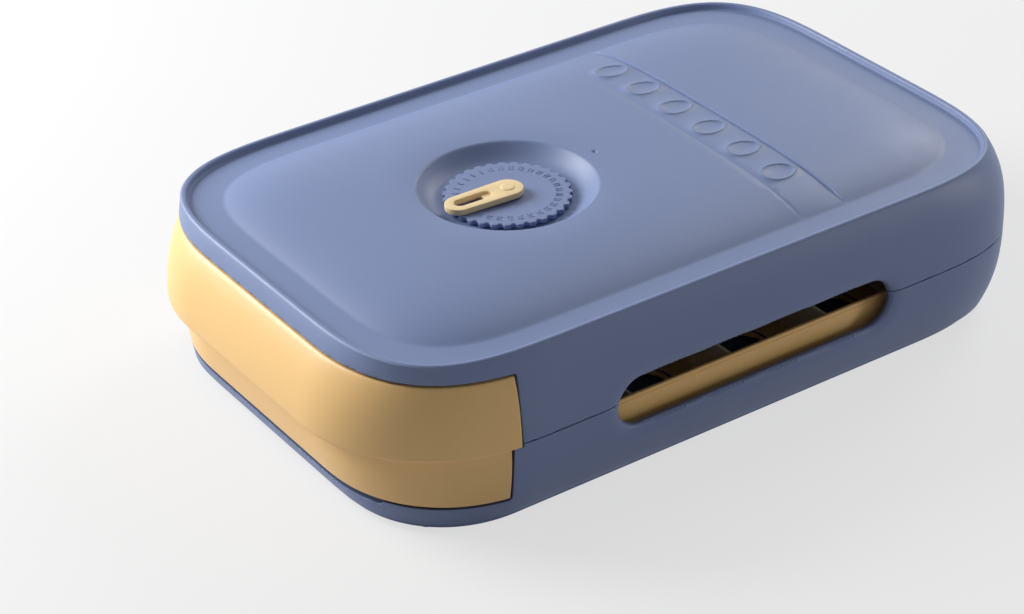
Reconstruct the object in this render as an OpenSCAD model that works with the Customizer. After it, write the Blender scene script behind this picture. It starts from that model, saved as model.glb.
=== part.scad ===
// Egg keeper: a drawer for 24 eggs in a two-part case with a rear-hinged lid and a date dial.
// X runs across the case, Y along it with the drawer front at -Y, and Z up from the table.

/* [Case] */
// Length of the case at the seam between its two shells
body_l = 310; // [290:1:340]
// Width of the case at the seam
body_w = 206; // [196:1:230]
// Corner radius of the case in plan, at the seam
corner_r = 50; // [48:1:60]
// Height of the seam above the table
seam_h = 35.6; // [34:0.2:38]
// Height of the rim round the top of the lid
rim_h = 72.4; // [71:0.2:78]
// How far the seam stands out beyond the rim
flare = 5.2; // [3:0.2:6]
// How far the foot of the case is drawn in from the seam
tuck = 6.6; // [4:0.2:8]
// Wall thickness of both shells
wall = 2.4; // [2:0.1:2.8]

/* [Lid top] */
// Width of the raised rim
rim_w = 2.2; // [1.8:0.1:3]
// Depth of the gutter inside the rim
gutter_drop = 2.6; // [1.5:0.1:3]
// Width of the gutter
gutter_w = 11.2; // [7:0.1:12]
// Rise of the domed panel above the gutter
dome_rise = 7.4; // [6:0.1:8]
// Width of the panel's rounded shoulder
dome_shoulder = 28; // [20:1:30]
// Thickness of the domed panel
lid_t = 2.2; // [1.8:0.1:2.6]
// Front edge of the shallow label recess, from the middle of the case
label_front = 42; // [36:1:48]
// Length of the label recess along the case
label_l = 21; // [16:1:26]
// Depth of the label recess at its rear step
label_depth = 0.9; // [0.5:0.1:1.2]

/* [Windows] */
// Length of each side window
window_l = 132; // [100:1:140]
// Height of each side window
window_h = 21.2; // [16:0.2:24]
// Height of the middle of the windows above the table
window_z = 33; // [31:0.2:35]
// Distance of the windows behind the middle of the case
window_y = 6; // [0:1:10]

/* [Drawer] */
// Height of the sill in front of the drawer
sill_h = 10.6; // [10:0.1:12]
// Clearance round the drawer front
front_gap = 1; // [0.8:0.1:1.4]
// How far the upper edge of the drawer front lies below the rim of the lid
front_drop = 8.6; // [7:0.2:12]
// How far the finger lip stands out in front of the case
lip_out = 6; // [3:0.2:6.4]
// How far the lip's lower edge lies below the seam
lip_drop = 0.8; // [0.6:0.1:2]
// Corner radius of the drawer front in plan, at the lip
lip_corner_r = 60; // [56:1:62]
// Wall thickness of the drawer front
front_t = 2.4; // [2:0.1:2.8]
// Distance of the drawer front's lower ends from the middle of the case
front_end = 107.8; // [106:0.2:110]
// How far the lip's ends reach past the lower ends
lip_reach = 3.6; // [2:0.2:4]
// How far the upper corners of the drawer front reach past its lower ends
top_reach = 3; // [1:0.2:4]
// Spacing of the four ribs that join the drawer front to the tray
rib_pitch = 30; // [20:1:40]
// Height of the tray's walls above the table
tray_top = 30.8; // [28:0.2:32]
// Wall thickness of the tray
tray_wall = 2; // [1.6:0.1:2.4]
// Thickness of the tray's floor
tray_floor = 1.8; // [1.4:0.1:2.2]
// Radius of the tray's rounded bottom edge
tray_bend = 3.6; // [3:0.1:4.5]
// Side clearance between the tray and the lower shell, at the seam
tray_side_gap = 8.5; // [8:0.1:10]
// Clearance between the tray's ends and the case outline
tray_end_gap = 10.8; // [10:0.1:12]
// Radius of the tray's corners in plan
tray_corner_r = 44; // [42:1:50]
// Width of the rails that carry the tray
rail_w = 3; // [2:0.5:5]
// Length of the guides beside the tray
guide_l = 60; // [30:5:80]
// Thickness of the guides
guide_t = 1.6; // [1.2:0.2:3]
// Height of the guides above the floor of the case
guide_up = 7; // [4:0.5:9]

/* [Egg dividers] */
// Number of egg columns across the tray
columns = 4; // [3:1:4]
// Number of egg rows along the tray
rows = 6; // [5:1:6]
// Thickness of the divider strips
strip_t = 1.4; // [1:0.1:2]
// Height of the divider strips
strip_h = 16.8; // [12:0.2:17]
// Clearance round the divider strips
strip_gap = 0.3; // [0.2:0.05:0.5]
// Radius of the round seat under each egg
seat_r = 9.6; // [8:0.1:11]
// Width of the bevel round each seat
seat_bevel = 0.8; // [0.4:0.1:1.2]

/* [Date dial] */
// Distance of the dial in front of the middle of the case
dial_y = 38.8; // [36:0.2:42]
// Radius of the dial
dial_r = 25.6; // [22:0.1:26]
// Thickness of the dial
dial_t = 2.1; // [1.8:0.1:2.4]
// Height of the dial's top below the crown of the lid
dial_drop = 5.1; // [4.6:0.1:5.6]
// Number of grip notches round the dial, one for each day
day_count = 31; // [31:1:31]
// Radius of each grip notch
notch_r = 1.5; // [1.2:0.1:1.7]
// Radius of the round dish at the level of the crown
dish_r = 36.4; // [34:0.2:38]
// Wall thickness of the bowl that carries the dial
bowl_t = 1.8; // [1.6:0.1:2.2]
// Running gap under the dial
dial_gap = 0.3; // [0.2:0.05:0.4]
// Radius of the stem under the dial
stem_r = 6; // [5:0.1:7]
// Running clearance of stems and pins in their bores
fit = 0.06; // [0.04:0.01:0.1]
// Thickness of the clip that holds the dial from below
clip_t = 1.4; // [1:0.1:1.8]
// Radius of the clip
clip_r = 9.5; // [8.5:0.1:11]
// Length of the pointer from the dial's centre to its tip
pointer_l = 28; // [25:0.1:29]
// Width of the pointer
pointer_w = 12.4; // [8:0.1:13]
// Thickness of the pointer
pointer_t = 2.4; // [1.8:0.1:2.8]
// Angle of the pointer from straight forward
pointer_turn = -2; // [-20:1:20]
// Radius of the rounded ends of the pointer's slot
slot_r = 2.6; // [1:0.1:3]
// Length of the pointer's slot between its rounded ends
slot_l = 8; // [6:0.5:12]
// Radius of the pointer's pin
pin_r = 2.2; // [1.8:0.1:2.4]

/* [Hinge] */
// Radius of the hinge pins
hinge_pin_r = 1.5; // [1.2:0.1:1.8]
// Outer radius of the hinge knuckles
knuckle_r = 3.5; // [3.3:0.1:3.9]
// Length of the lid's knuckle in each hinge
knuckle_l = 16; // [12:1:20]
// Length of each of the lower shell's knuckles
outer_knuckle_l = 9; // [7:0.5:12]
// Gap between neighbouring knuckles
knuckle_gap = 0.3; // [0.2:0.05:0.5]
// Distance of each hinge from the middle of the case
hinge_x = 44; // [36:1:50]
// Clearance round each knuckle in the other shell
knuckle_clear = 0.4; // [0.3:0.1:0.8]

/* [Lid tabs] */
// Length of the tabs that keep the closed lid in line
tab_l = 20; // [12:1:30]
// Thickness of the tabs
tab_t = 2; // [1.6:0.2:2.6]
// How far the tabs drop below the seam
tab_drop = 5; // [3:0.5:6]
// Height of each tab's root on the lid's wall
tab_root = 5; // [4:0.5:7]
// Clearance between the tabs and the lower shell
tab_gap = 0.4; // [0.3:0.1:0.6]

/* [Feet] */
// Radius of the round feet
foot_r = 3; // [2.4:0.1:3.2]
// Height that the feet hold the shell above the table
foot_h = 0.6; // [0.4:0.1:1]
// Height of the drawn-in edge that nests inside the rim of a lid below
nest_h = 3; // [2.6:0.1:4]

/* [Hidden] */

blue = [0.43, 0.49, 0.64];
yellow = [0.86, 0.72, 0.47];
cream = [0.96, 0.87, 0.62];
steel = [0.75, 0.76, 0.78];
rubber = [0.25, 0.26, 0.3];

round_fn = 96;
far = 400;
lap = 2;
half_l = body_l / 2;
half_w = body_w / 2;
core_x = half_w - corner_r;
core_y = half_l - corner_r;

// Heights in the lower shell
floor_top = sill_h - 0.4;
floor_t = 2;
recess_h = floor_top - floor_t;
tray_z = sill_h + 0.6;
tray_floor_top = tray_z + tray_floor;

// Heights and widths in the lid
gutter_z = rim_h - gutter_drop;
crown_z = gutter_z + dome_rise;
panel_under = crown_z - lid_t;
dome_in = -flare - rim_w - gutter_w;
shoulder_w = min(dome_shoulder, corner_r - lap + dome_in - 0.5);
front_top = rim_h - front_drop;
lip_z = seam_h - lip_drop;
skirt_top = front_top + front_gap;
dial_top = crown_z - dial_drop;
dial_under = dial_top - dial_t;
dish_floor = dial_under - dial_gap;
dish_under = dish_floor - bowl_t;
dish_floor_r = dial_r + 2;

// Places on the hinge line
hinge_y = half_l + lip_out - knuckle_r;
hinge_bore_r = hinge_pin_r + fit;
hinge_l = knuckle_l + 2 * (knuckle_gap + outer_knuckle_l);

// Tray outline
tray_half_w = half_w - tray_side_gap;
tray_half_l = half_l - tray_end_gap;
tray_in_w = 2 * (tray_half_w - tray_wall);
tray_in_l = 2 * (tray_half_l - tray_wall);
pitch_x = tray_in_w / columns;
pitch_y = tray_in_l / rows;
rail_x = pitch_x * (columns / 2 - 1);
rail_inset = 10;

// The lower shell's bottom edge nests inside the rim of a lid below, and the feet stand
// just inside it, where the gutter of that lid carries them
nest_in = -flare - rim_w - 0.5;
boss_wall = 1.2;
foot_boss_r = foot_r + boss_wall;
foot_in = nest_in - foot_boss_r;
foot_seat_z = foot_h + 1.4;

// Offset of the outer wall from the seam outline, above and below the seam
function upper_off(z) = -flare * pow((z - seam_h) / (rim_h - seam_h), 3.2);
function lower_off(z) = -tuck * pow((seam_h - z) / seam_h, 2.4);
foot_reach = (corner_r + foot_in) / sqrt(2);
function between(a, b, n) = [for (i = [0 : n]) a + (b - a) * i / n];
function back(list) = [for (i = [len(list) - 1 : -1 : 0]) list[i]];

// A closed ring that carries a section of [offset from the outline, height] points round
// a rounded rectangle
module ring(section, hw = half_w, hl = half_l, r = corner_r) {
    across = [for (p = section) [hw + p[0], p[1]]];
    along = [for (p = section) [hl + p[0], p[1]]];
    turned = [for (p = section) [r + p[0], p[1]]];
    for (side = [0, 1]) {
        mirror([side, 0, 0])
            rotate([90, 0, 0]) linear_extrude(2 * (hl - r), center = true) polygon(across);
        mirror([0, side, 0])
            rotate([90, 0, 90]) linear_extrude(2 * (hw - r), center = true) polygon(along);
    }
    for (i = [0 : 3]) {
        translate([(hw - r) * (i == 0 || i == 3 ? 1 : -1), (hl - r) * (i < 2 ? 1 : -1), 0])
            rotate([0, 0, 90 * i]) rotate_extrude(angle = 90, $fn = round_fn) polygon(turned);
    }
}

// A flat plate that fills the inside of a ring whose section reaches in to its corners,
// and laps over it
module core_plate(z0, z1, hw = half_w, hl = half_l, r = corner_r) {
    reach = 2 * lap;
    translate([-(hw - r + reach), -(hl - r + reach), z0])
        cube([2 * (hw - r + reach), 2 * (hl - r + reach), z1 - z0]);
}

// A prism across the whole width with a [Y, Z] outline
module cross_cut(outline, width = far) {
    rotate([90, 0, 90]) linear_extrude(width, center = true) polygon(outline);
}

module window_cuts() {
    r = window_h / 2;
    inner = tray_half_w - 4;
    for (side = [0, 1]) mirror([side, 0, 0]) translate([inner, window_y, window_z]) {
        for (end = [-1, 1]) translate([0, end * (window_l / 2 - r), 0])
            rotate([0, 90, 0]) cylinder(h = half_w, r = r, $fn = round_fn);
        translate([0, r - window_l / 2, -r]) cube([half_w, window_l - 2 * r, window_h]);
    }
}

module hinge_barrel(x0, x1, r) {
    translate([x0, hinge_y, seam_h]) rotate([0, 90, 0]) cylinder(h = x1 - x0, r = r, $fn = 64);
}

// The lid's middle knuckle and the lower shell's two outer ones, at both hinges
module lid_knuckles(r, grow = 0) {
    for (s = [-1, 1])
        hinge_barrel(s * hinge_x - knuckle_l / 2 - grow, s * hinge_x + knuckle_l / 2 + grow, r);
}

module shell_knuckles(r, grow = 0) {
    inner = knuckle_l / 2 + knuckle_gap;
    for (s = [-1, 1], t = [-1, 1]) {
        middle = s * hinge_x + t * (inner + outer_knuckle_l / 2);
        hinge_barrel(middle - outer_knuckle_l / 2 - grow, middle + outer_knuckle_l / 2 + grow, r);
    }
}

module hinge_bores() {
    for (s = [-1, 1])
        hinge_barrel(s * hinge_x - hinge_l / 2 - 1, s * hinge_x + hinge_l / 2 + 1, hinge_bore_r);
}

module at_feet() {
    for (sx = [-1, 1], sy = [-1, 1])
        translate([sx * (core_x + foot_reach), sy * (core_y + foot_reach), 0]) children();
}

module lower_shell() {
    step = 0.7;
    flank_z = nest_h + 2 * step;
    nest = [[nest_in, foot_h], [nest_in, nest_h], [lower_off(flank_z) - step, nest_h + step]];
    outer = concat(nest, [for (z = between(flank_z, seam_h, 8)) [lower_off(z), z]]);
    inner = [for (z = back(between(floor_top, seam_h, 6))) [lower_off(z) - wall, z]];
    deep = lap - corner_r;
    skirt_in = nest_in - wall;
    under = [[deep, floor_top], [deep, recess_h], [skirt_in, recess_h], [skirt_in, foot_h]];
    rail_l = 2 * (tray_half_l - rail_inset);
    guide_x = tray_half_w + front_gap / 2;
    ledge = 1.2;
    ledge_end = 20;
    color(blue) difference() {
        union() {
            ring(concat(outer, inner, under));
            core_plate(recess_h, floor_top);
            // Low rails that carry the tray
            for (s = [-1, 1]) translate([s * rail_x - rail_w / 2, -rail_l / 2, floor_top - 0.5])
                cube([rail_w, rail_l, tray_z - floor_top + 0.5]);
            // Guides that keep the tray straight, below the windows
            for (side = [0, 1], y = [-70, 80]) mirror([side, 0, 0])
                translate([guide_x, y - guide_l / 2, floor_top + guide_up])
                    cube([half_w - wall - guide_x, guide_l, guide_t]);
            at_feet() translate([0, 0, foot_h + 0.4])
                cylinder(h = recess_h - foot_h, r = foot_boss_r, $fn = 48);
            shell_knuckles(knuckle_r);
        }
        // Opening for the drawer front, with a notch under each end of the lip
        cross_cut([
            [-far, sill_h], [-front_end + front_gap, sill_h],
            [-front_end + front_gap, lip_z - 0.6],
            [lip_reach + front_gap - front_end, lip_z - 0.6],
            [lip_reach + front_gap - front_end, far], [-far, far]
        ]);
        // Shallow ledge along the straight stretch of the sill
        translate([-core_x - ledge_end, -far - half_l - lower_off(sill_h) + ledge, sill_h - ledge])
            cube([2 * (core_x + ledge_end), far, far]);
        window_cuts();
        // Pockets for the feet
        at_feet() translate([0, 0, -1]) cylinder(h = foot_seat_z + 1, r = foot_r + 0.1, $fn = 48);
        lid_knuckles(knuckle_r + knuckle_clear, knuckle_gap);
        hinge_bores();
    }
}

// Smooth rise of the domed panel's shoulder, from 0 at its edge to 1 at the crown
function shoulder(s) = 1 - pow(1 - s, 1.6);

module dish_section(down, grow) {
    steps = between(0, 1, 8);
    bowl = [for (s = steps)
        [dish_floor_r + grow + (dish_r - dish_floor_r) * s,
         dish_floor + down + (crown_z - dish_floor) * (1 - cos(180 * s)) / 2]];
    polygon(concat([[0, dish_floor + down]], bowl, [[0, crown_z + down]]));
}

module upper_shell() {
    flank = [for (z = between(seam_h, rim_h - 0.8, 8)) [upper_off(z), z]];
    rim = [
        [-flare - 0.5, rim_h], [-flare - rim_w + 0.5, rim_h],
        [-flare - rim_w, rim_h - 0.6], [-flare - rim_w - 0.3, gutter_z]
    ];
    steps = [0, 0.1, 0.2, 0.32, 0.45, 0.6, 0.75, 0.9, 1];
    deep = lap - corner_r;
    dome = [for (s = steps) [dome_in - shoulder_w * s, gutter_z + dome_rise * shoulder(s)]];
    vault = [for (s = back(steps))
        [dome_in - shoulder_w * s - 0.6, gutter_z - lid_t + dome_rise * shoulder(s)]];
    lining = [for (z = back(between(seam_h, gutter_z - lid_t, 7))) [upper_off(z) - wall, z]];
    tab_x = half_w - wall - tab_gap;
    dimple_r = 1.2;
    dimple_gap = 5.8;
    color(blue) difference() {
        union() {
            difference() {
                union() {
                    ring(concat(flank, rim, dome, [[deep, crown_z], [deep, panel_under]], vault, lining));
                    core_plate(panel_under, crown_z);
                    // Bowl that hangs under the crown and carries the dial
                    translate([0, -dial_y, 0]) rotate_extrude($fn = round_fn) intersection() {
                        dish_section(-bowl_t, 1);
                        square([dish_r + 4, crown_z - 0.2]);
                    }
                }
                translate([0, -dial_y, 0]) rotate_extrude($fn = round_fn) dish_section(0, 0);
                // Slanting recess for a label, and the small index dimple behind the dish
                cross_cut([
                    [label_front, crown_z], [label_front + label_l, crown_z - label_depth],
                    [label_front + label_l, far], [label_front, far]
                ]);
                translate([0, dish_r - dial_y + dimple_gap, crown_z + dimple_r / 3])
                    sphere(r = dimple_r, $fn = 32);
            }
            // Tabs that drop inside the lower shell and keep the closed lid in line
            for (side = [0, 1], y = [-90, 100]) mirror([side, 0, 0]) {
                root_z = seam_h + 1;
                translate([tab_x - tab_t, y - tab_l / 2, seam_h - tab_drop])
                    cube([tab_t, tab_l, root_z + tab_root - seam_h + tab_drop]);
                translate([tab_x - tab_t, y - tab_l / 2, root_z])
                    cube([tab_t + tab_gap + wall / 2, tab_l, tab_root]);
            }
            lid_knuckles(knuckle_r);
        }
        // Opening for the upper half of the drawer front
        cross_cut([
            [-far, -1], [lip_reach + front_gap - front_end, -1],
            [lip_reach + front_gap - front_end, lip_z],
            [top_reach + front_gap - front_end, skirt_top], [-far, skirt_top]
        ]);
        window_cuts();
        shell_knuckles(knuckle_r + knuckle_clear, knuckle_gap);
        hinge_bores();
        translate([0, -dial_y, 0]) cylinder(h = far, r = stem_r + fit, $fn = round_fn);
    }
}

module hinge_pin(side) {
    color(steel) hinge_barrel(side * hinge_x - hinge_l / 2, side * hinge_x + hinge_l / 2, hinge_pin_r);
}

// The tray's rounded bottom edge, and the angle at which it passes the top of the floor
function tray_curve(a) = [tray_bend * sin(a) - tray_bend, tray_z + tray_bend * (1 - cos(a))];
bend_top = acos(1 - tray_floor / tray_bend);

// The wall stands on the rim of the floor
module drawer_tray() {
    foot = [for (a = between(bend_top, 90, 3)) tray_curve(a)];
    edge = [[0, tray_top - 0.6], [-0.6, tray_top], [0.6 - tray_wall, tray_top], [-tray_wall, tray_top - 0.6]];
    color(yellow) ring(concat(foot, edge, [[-tray_wall, tray_floor_top]]), tray_half_w, tray_half_l, tray_corner_r);
}

module drawer_floor() {
    deep = lap - tray_corner_r;
    rim = [for (a = between(0, bend_top, 3)) tray_curve(a)];
    section = concat(rim, [[deep, tray_floor_top], [deep, tray_z]]);
    color(yellow) difference() {
        union() {
            ring(section, tray_half_w, tray_half_l, tray_corner_r);
            core_plate(tray_z, tray_floor_top, tray_half_w, tray_half_l, tray_corner_r);
        }
        // Round seats that take the blunt ends of the eggs
        for (i = [1 : columns], j = [1 : rows])
            translate([pitch_x * (i - (columns + 1) / 2), pitch_y * (j - (rows + 1) / 2), 0]) {
                hole_r = seat_r - seat_bevel;
                translate([0, 0, tray_z - 1]) cylinder(h = tray_floor + 2, r = hole_r, $fn = 48);
                translate([0, 0, tray_floor_top - seat_bevel])
                    cylinder(h = 2 * seat_bevel, r1 = hole_r, r2 = seat_r + seat_bevel, $fn = 48);
            }
    }
}

// Outline of the drawer front at one height: [half width, half length, corner radius, end]
function front_lower(z) = [half_w + lower_off(z), half_l + lower_off(z) - 0.4, lip_corner_r - 5, front_end];
function front_share(z) = (z - lip_z) / (front_top - lip_z);
function front_upper(z) = [
    half_w + upper_off(max(z, seam_h)),
    half_l + upper_off(max(z, seam_h)) + lip_out * (1 - pow(front_share(z), 2.2)),
    lip_corner_r - 12 * pow(front_share(z), 2),
    front_end - lip_reach + (lip_reach - top_reach) * front_share(z)
];
function inset(o, t) = [o[0] - t, o[1] - t, o[2] - t, o[3]];

// Points round one outline, from the right-hand end across the front to the left-hand end
function front_line(o, z, n) =
    let (start = asin(max(0, (o[3] - o[1] + o[2]) / o[2])))
    let (right = [for (a = between(start, 90, n))
        [o[0] - o[2] + o[2] * cos(a), o[2] - o[1] - o[2] * sin(a), z]])
    concat(right, [for (p = back(right)) [-p[0], p[1], p[2]]]);

module drawer_front() {
    n = 14;
    web = front_t;
    low = between(sill_h + front_gap, lip_z, 4);
    high = between(lip_z + web, front_top, 6);
    outer = concat(
        [for (z = low) front_line(front_lower(z), z, n)],
        [front_line(front_upper(lip_z), lip_z, n)],
        [for (z = high) front_line(front_upper(z), z, n)]
    );
    inner = concat(
        [for (z = low) front_line(inset(front_lower(z), front_t), z, n)],
        [front_line(inset(front_lower(lip_z), front_t), lip_z + web, n)],
        [for (z = high) front_line(inset(front_upper(z), front_t), z, n)]
    );
    levels = len(outer);
    stations = 2 * (n + 1);
    size = levels * stations;
    points = concat([for (line = outer) each line], [for (line = inner) each line]);
    // Two triangles for each cell, facing out on the outer skin and in on the inner skin
    skin = [for (j = [0 : levels - 2], i = [0 : stations - 2])
        let (a = j * stations + i, b = a + 1, c = a + stations, d = c + 1)
        each [[a, b, c], [b, d, c], [size + a, size + c, size + b], [size + b, size + c, size + d]]];
    ends = [for (j = [0 : levels - 2], i = [0, stations - 1])
        let (a = j * stations + i, c = a + stations)
        each (i == 0
            ? [[a, c, size + a], [size + a, c, size + c]]
            : [[a, size + a, c], [size + a, size + c, c]])];
    top = (levels - 1) * stations;
    edges = [for (i = [0 : stations - 2])
        each [
            [i, size + i, i + 1], [i + 1, size + i, size + i + 1],
            [top + i, top + i + 1, size + top + i], [top + i + 1, size + top + i + 1, size + top + i]
        ]];
    rib_z = tray_floor_top;
    rib_l = front_lower(rib_z)[1] - 0.2 - tray_half_l;
    color(yellow) {
        polyhedron(points, concat(skin, ends, edges));
        // Ribs that join the front to the tray
        for (i = [-1.5 : 1.5])
            translate([i * rib_pitch - 1, -tray_half_l - rib_l, rib_z]) cube([2, rib_l, tray_top - rib_z - 2]);
    }
}

// Strips along the tray are slotted from above, and strips across it from below
module divider_long(i) {
    l = tray_in_l - 2 * strip_gap;
    slot = strip_t + strip_gap;
    color(cream) difference() {
        translate([pitch_x * (i - columns / 2) - strip_t / 2, -l / 2, tray_floor_top])
            cube([strip_t, l, strip_h]);
        for (j = [1 : rows - 1])
            translate([-far / 2, pitch_y * (j - rows / 2) - slot / 2, tray_floor_top + strip_h / 2])
                cube([far, slot, strip_h]);
    }
}

module divider_cross(j) {
    w = tray_in_w - 2 * strip_gap;
    slot = strip_t + strip_gap;
    color(cream) difference() {
        translate([-w / 2, pitch_y * (j - rows / 2) - strip_t / 2, tray_floor_top])
            cube([w, strip_t, strip_h]);
        for (i = [1 : columns - 1])
            translate([pitch_x * (i - columns / 2) - slot / 2, -far / 2, tray_floor_top - strip_h / 2])
                cube([slot, far, strip_h]);
    }
}

module at_dial() {
    translate([0, -dial_y, 0]) children();
}

stem_end = dish_under - dial_gap - clip_t - 1;

module date_dial() {
    color(blue) at_dial() difference() {
        union() {
            translate([0, 0, dial_under]) cylinder(h = dial_t, r = dial_r, $fn = round_fn);
            translate([0, 0, stem_end]) cylinder(h = dial_top - stem_end - 0.5, r = stem_r, $fn = round_fn);
        }
        for (i = [0 : day_count - 1]) rotate([0, 0, i * 360 / day_count])
            translate([dial_r + notch_r / 3, 0, dial_under - 1]) cylinder(h = dial_t + 2, r = notch_r, $fn = 24);
        translate([0, 0, stem_end - 1]) cylinder(h = far, r = pin_r + fit, $fn = 48);
    }
}

module dial_clip() {
    color(steel) at_dial() translate([0, 0, dish_under - dial_gap - clip_t]) difference() {
        cylinder(h = clip_t, r = clip_r, $fn = round_fn);
        translate([0, 0, -1]) cylinder(h = clip_t + 2, r = stem_r + fit / 2, $fn = round_fn);
    }
}

pointer_z = dial_top + 0.2;

module date_pointer() {
    r = pointer_w / 2;
    reach = pointer_l - r;
    color(cream) at_dial() rotate([0, 0, -90 + pointer_turn]) translate([0, 0, pointer_z]) difference() {
        union() {
            cylinder(h = pointer_t, r = r, $fn = 64);
            translate([reach, 0, 0]) cylinder(h = pointer_t, r = r, $fn = 64);
            translate([0, -r, 0]) cube([reach, pointer_w, pointer_t]);
        }
        translate([reach, 0, -1]) cylinder(h = far, r = slot_r, $fn = 32);
        translate([reach - slot_l, 0, -1]) cylinder(h = far, r = slot_r, $fn = 32);
        translate([reach - slot_l, -slot_r, -1]) cube([slot_l, 2 * slot_r, far]);
        translate([0, 0, -1]) cylinder(h = far, r = pin_r + fit, $fn = 48);
    }
}

module pointer_pin() {
    head_t = 0.5;
    flange_t = 1;
    color(cream) at_dial() {
        translate([0, 0, stem_end - 0.2]) cylinder(h = pointer_z + pointer_t - stem_end + 0.3, r = pin_r, $fn = 48);
        translate([0, 0, pointer_z + pointer_t]) cylinder(h = head_t, r = pin_r + 0.6, $fn = 48);
        translate([0, 0, stem_end - 0.2 - flange_t]) cylinder(h = flange_t, r = pin_r + 1.4, $fn = 48);
    }
}

module foot(sx, sy) {
    color(rubber) translate([sx * (core_x + foot_reach), sy * (core_y + foot_reach), 0])
        cylinder(h = foot_seat_z, r = foot_r, $fn = 48);
}

lower_shell();
upper_shell();
hinge_pin(-1);  // hinge_pin_left
hinge_pin(1);  // hinge_pin_right
drawer_tray();
drawer_floor();
drawer_front();
divider_long(1);  // divider_long_1
divider_long(2);  // divider_long_2
divider_long(3);  // divider_long_3
divider_cross(1);  // divider_cross_1
divider_cross(2);  // divider_cross_2
divider_cross(3);  // divider_cross_3
divider_cross(4);  // divider_cross_4
divider_cross(5);  // divider_cross_5
date_dial();
dial_clip();
date_pointer();
pointer_pin();
foot(-1, -1);  // foot_front_left
foot(1, -1);  // foot_front_right
foot(-1, 1);  // foot_rear_left
foot(1, 1);  // foot_rear_right
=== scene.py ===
# %% [markdown]
# An egg keeper: a two-part blue case with a hinged lid, a yellow drawer for 24 eggs, and a
# date dial with a pointer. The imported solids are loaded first, because they fix where every
# piece is and which body it rides on. Everything after that is drawn around them.

# %% Load the frame
import math

import bmesh
import bpy
import numpy as np
from mathutils import Matrix, Vector
from mathutils.geometry import delaunay_2d_cdt


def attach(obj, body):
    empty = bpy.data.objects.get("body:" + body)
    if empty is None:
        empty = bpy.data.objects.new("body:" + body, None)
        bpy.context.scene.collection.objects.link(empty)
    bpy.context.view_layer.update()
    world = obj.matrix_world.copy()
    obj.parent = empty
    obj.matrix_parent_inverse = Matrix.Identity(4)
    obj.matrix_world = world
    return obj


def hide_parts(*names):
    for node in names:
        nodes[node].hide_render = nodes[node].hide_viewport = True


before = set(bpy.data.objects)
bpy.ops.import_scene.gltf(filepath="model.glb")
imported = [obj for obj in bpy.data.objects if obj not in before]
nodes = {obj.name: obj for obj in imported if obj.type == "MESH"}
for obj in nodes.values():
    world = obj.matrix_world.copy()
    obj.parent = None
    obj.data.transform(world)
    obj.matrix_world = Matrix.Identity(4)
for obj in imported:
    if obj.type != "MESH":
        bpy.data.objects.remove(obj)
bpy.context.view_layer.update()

# %% [markdown]
# The camera stands where the photographer stood: to the right of the drawer, well above the
# case, with a long lens. Its numbers come from fitting the rim, the seam and the dish.

# %% Camera
AIM = Vector((0.07170, -0.08631, 0.07232))
AZIMUTH, ELEVATION, ROLL = (math.radians(a) for a in (56.131, 31.454, -1.588))
DISTANCE, LENS = 1.0099, 97.38

back = Vector((math.sin(AZIMUTH) * math.cos(ELEVATION),
               -math.cos(AZIMUTH) * math.cos(ELEVATION), math.sin(ELEVATION)))
right = Vector((math.cos(AZIMUTH), math.sin(AZIMUTH), 0))
up = back.cross(right)
rolled_right = right * math.cos(ROLL) + up * math.sin(ROLL)
rolled_up = up * math.cos(ROLL) - right * math.sin(ROLL)
lens = bpy.data.cameras.new("camera")
lens.lens, lens.sensor_width, lens.sensor_fit = LENS, 36, "HORIZONTAL"
lens.clip_start, lens.clip_end = 0.01, 50
camera = bpy.data.objects.new("camera", lens)
turn = [[rolled_right[i], rolled_up[i], back[i], (AIM + back * DISTANCE)[i]] for i in range(3)]
camera.matrix_world = Matrix(turn + [[0, 0, 0, 1]])
bpy.context.scene.collection.objects.link(camera)
bpy.context.scene.camera = camera
print("camera at", [round(v, 3) for v in AIM + back * DISTANCE])

# %% [markdown]
# The case isn't a plain box with round corners. Its corners are squarer than a circle, so its
# sides look slightly bowed. Each level gets an outline of its own: straight sides joined by
# superellipse corners. Lower down, the corners at the drawer end are rounder.

# %% Outlines of the case, in millimetres
QUARTER = 256
SEAM_Z, RIM_Z = 35.6, 72.4


def quarter(half_w, half_l, radius, power):
    """Points from the middle of the right side to the middle of the rear end."""
    t = np.linspace(0, 1, 600)
    angle = np.pi / 2 * t * t * (3 - 2 * t)
    c, s = np.clip(np.cos(angle), 0, 1), np.clip(np.sin(angle), 0, 1)
    x = np.concatenate([[half_w], half_w - radius + radius * c ** (2 / power), [0]])
    y = np.concatenate([[0], half_l - radius + radius * s ** (2 / power), [half_l]])
    way = np.concatenate([[0], np.cumsum(np.hypot(np.diff(x), np.diff(y)))])
    at = np.linspace(0, way[-1], QUARTER + 1)
    return np.stack([np.interp(at, way, x), np.interp(at, way, y)], 1)


def outline(half_w, half_l, rear, front):
    """A closed outline, from the middle of the rear end round by the left side."""
    r, f = quarter(half_w, half_l, *rear), quarter(half_w, half_l, *front)
    return np.concatenate([r[::-1][:-1] * (-1, 1), f[:-1] * (-1, -1),
                           f[::-1][:-1] * (1, -1), r[:-1]])


RIM = outline(97.8, 149.7, (75.2, 3.53), (75.2, 3.53))
SEAM = outline(103, 155, (71.3, 3.53), (62, 2.1))
FOOT = outline(96.4, 148.4, (60, 3.1), (46, 2.1))
LENGTH = float(np.hypot(*np.diff(np.vstack([SEAM, SEAM[:1]]), axis=0).T).sum())


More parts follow.
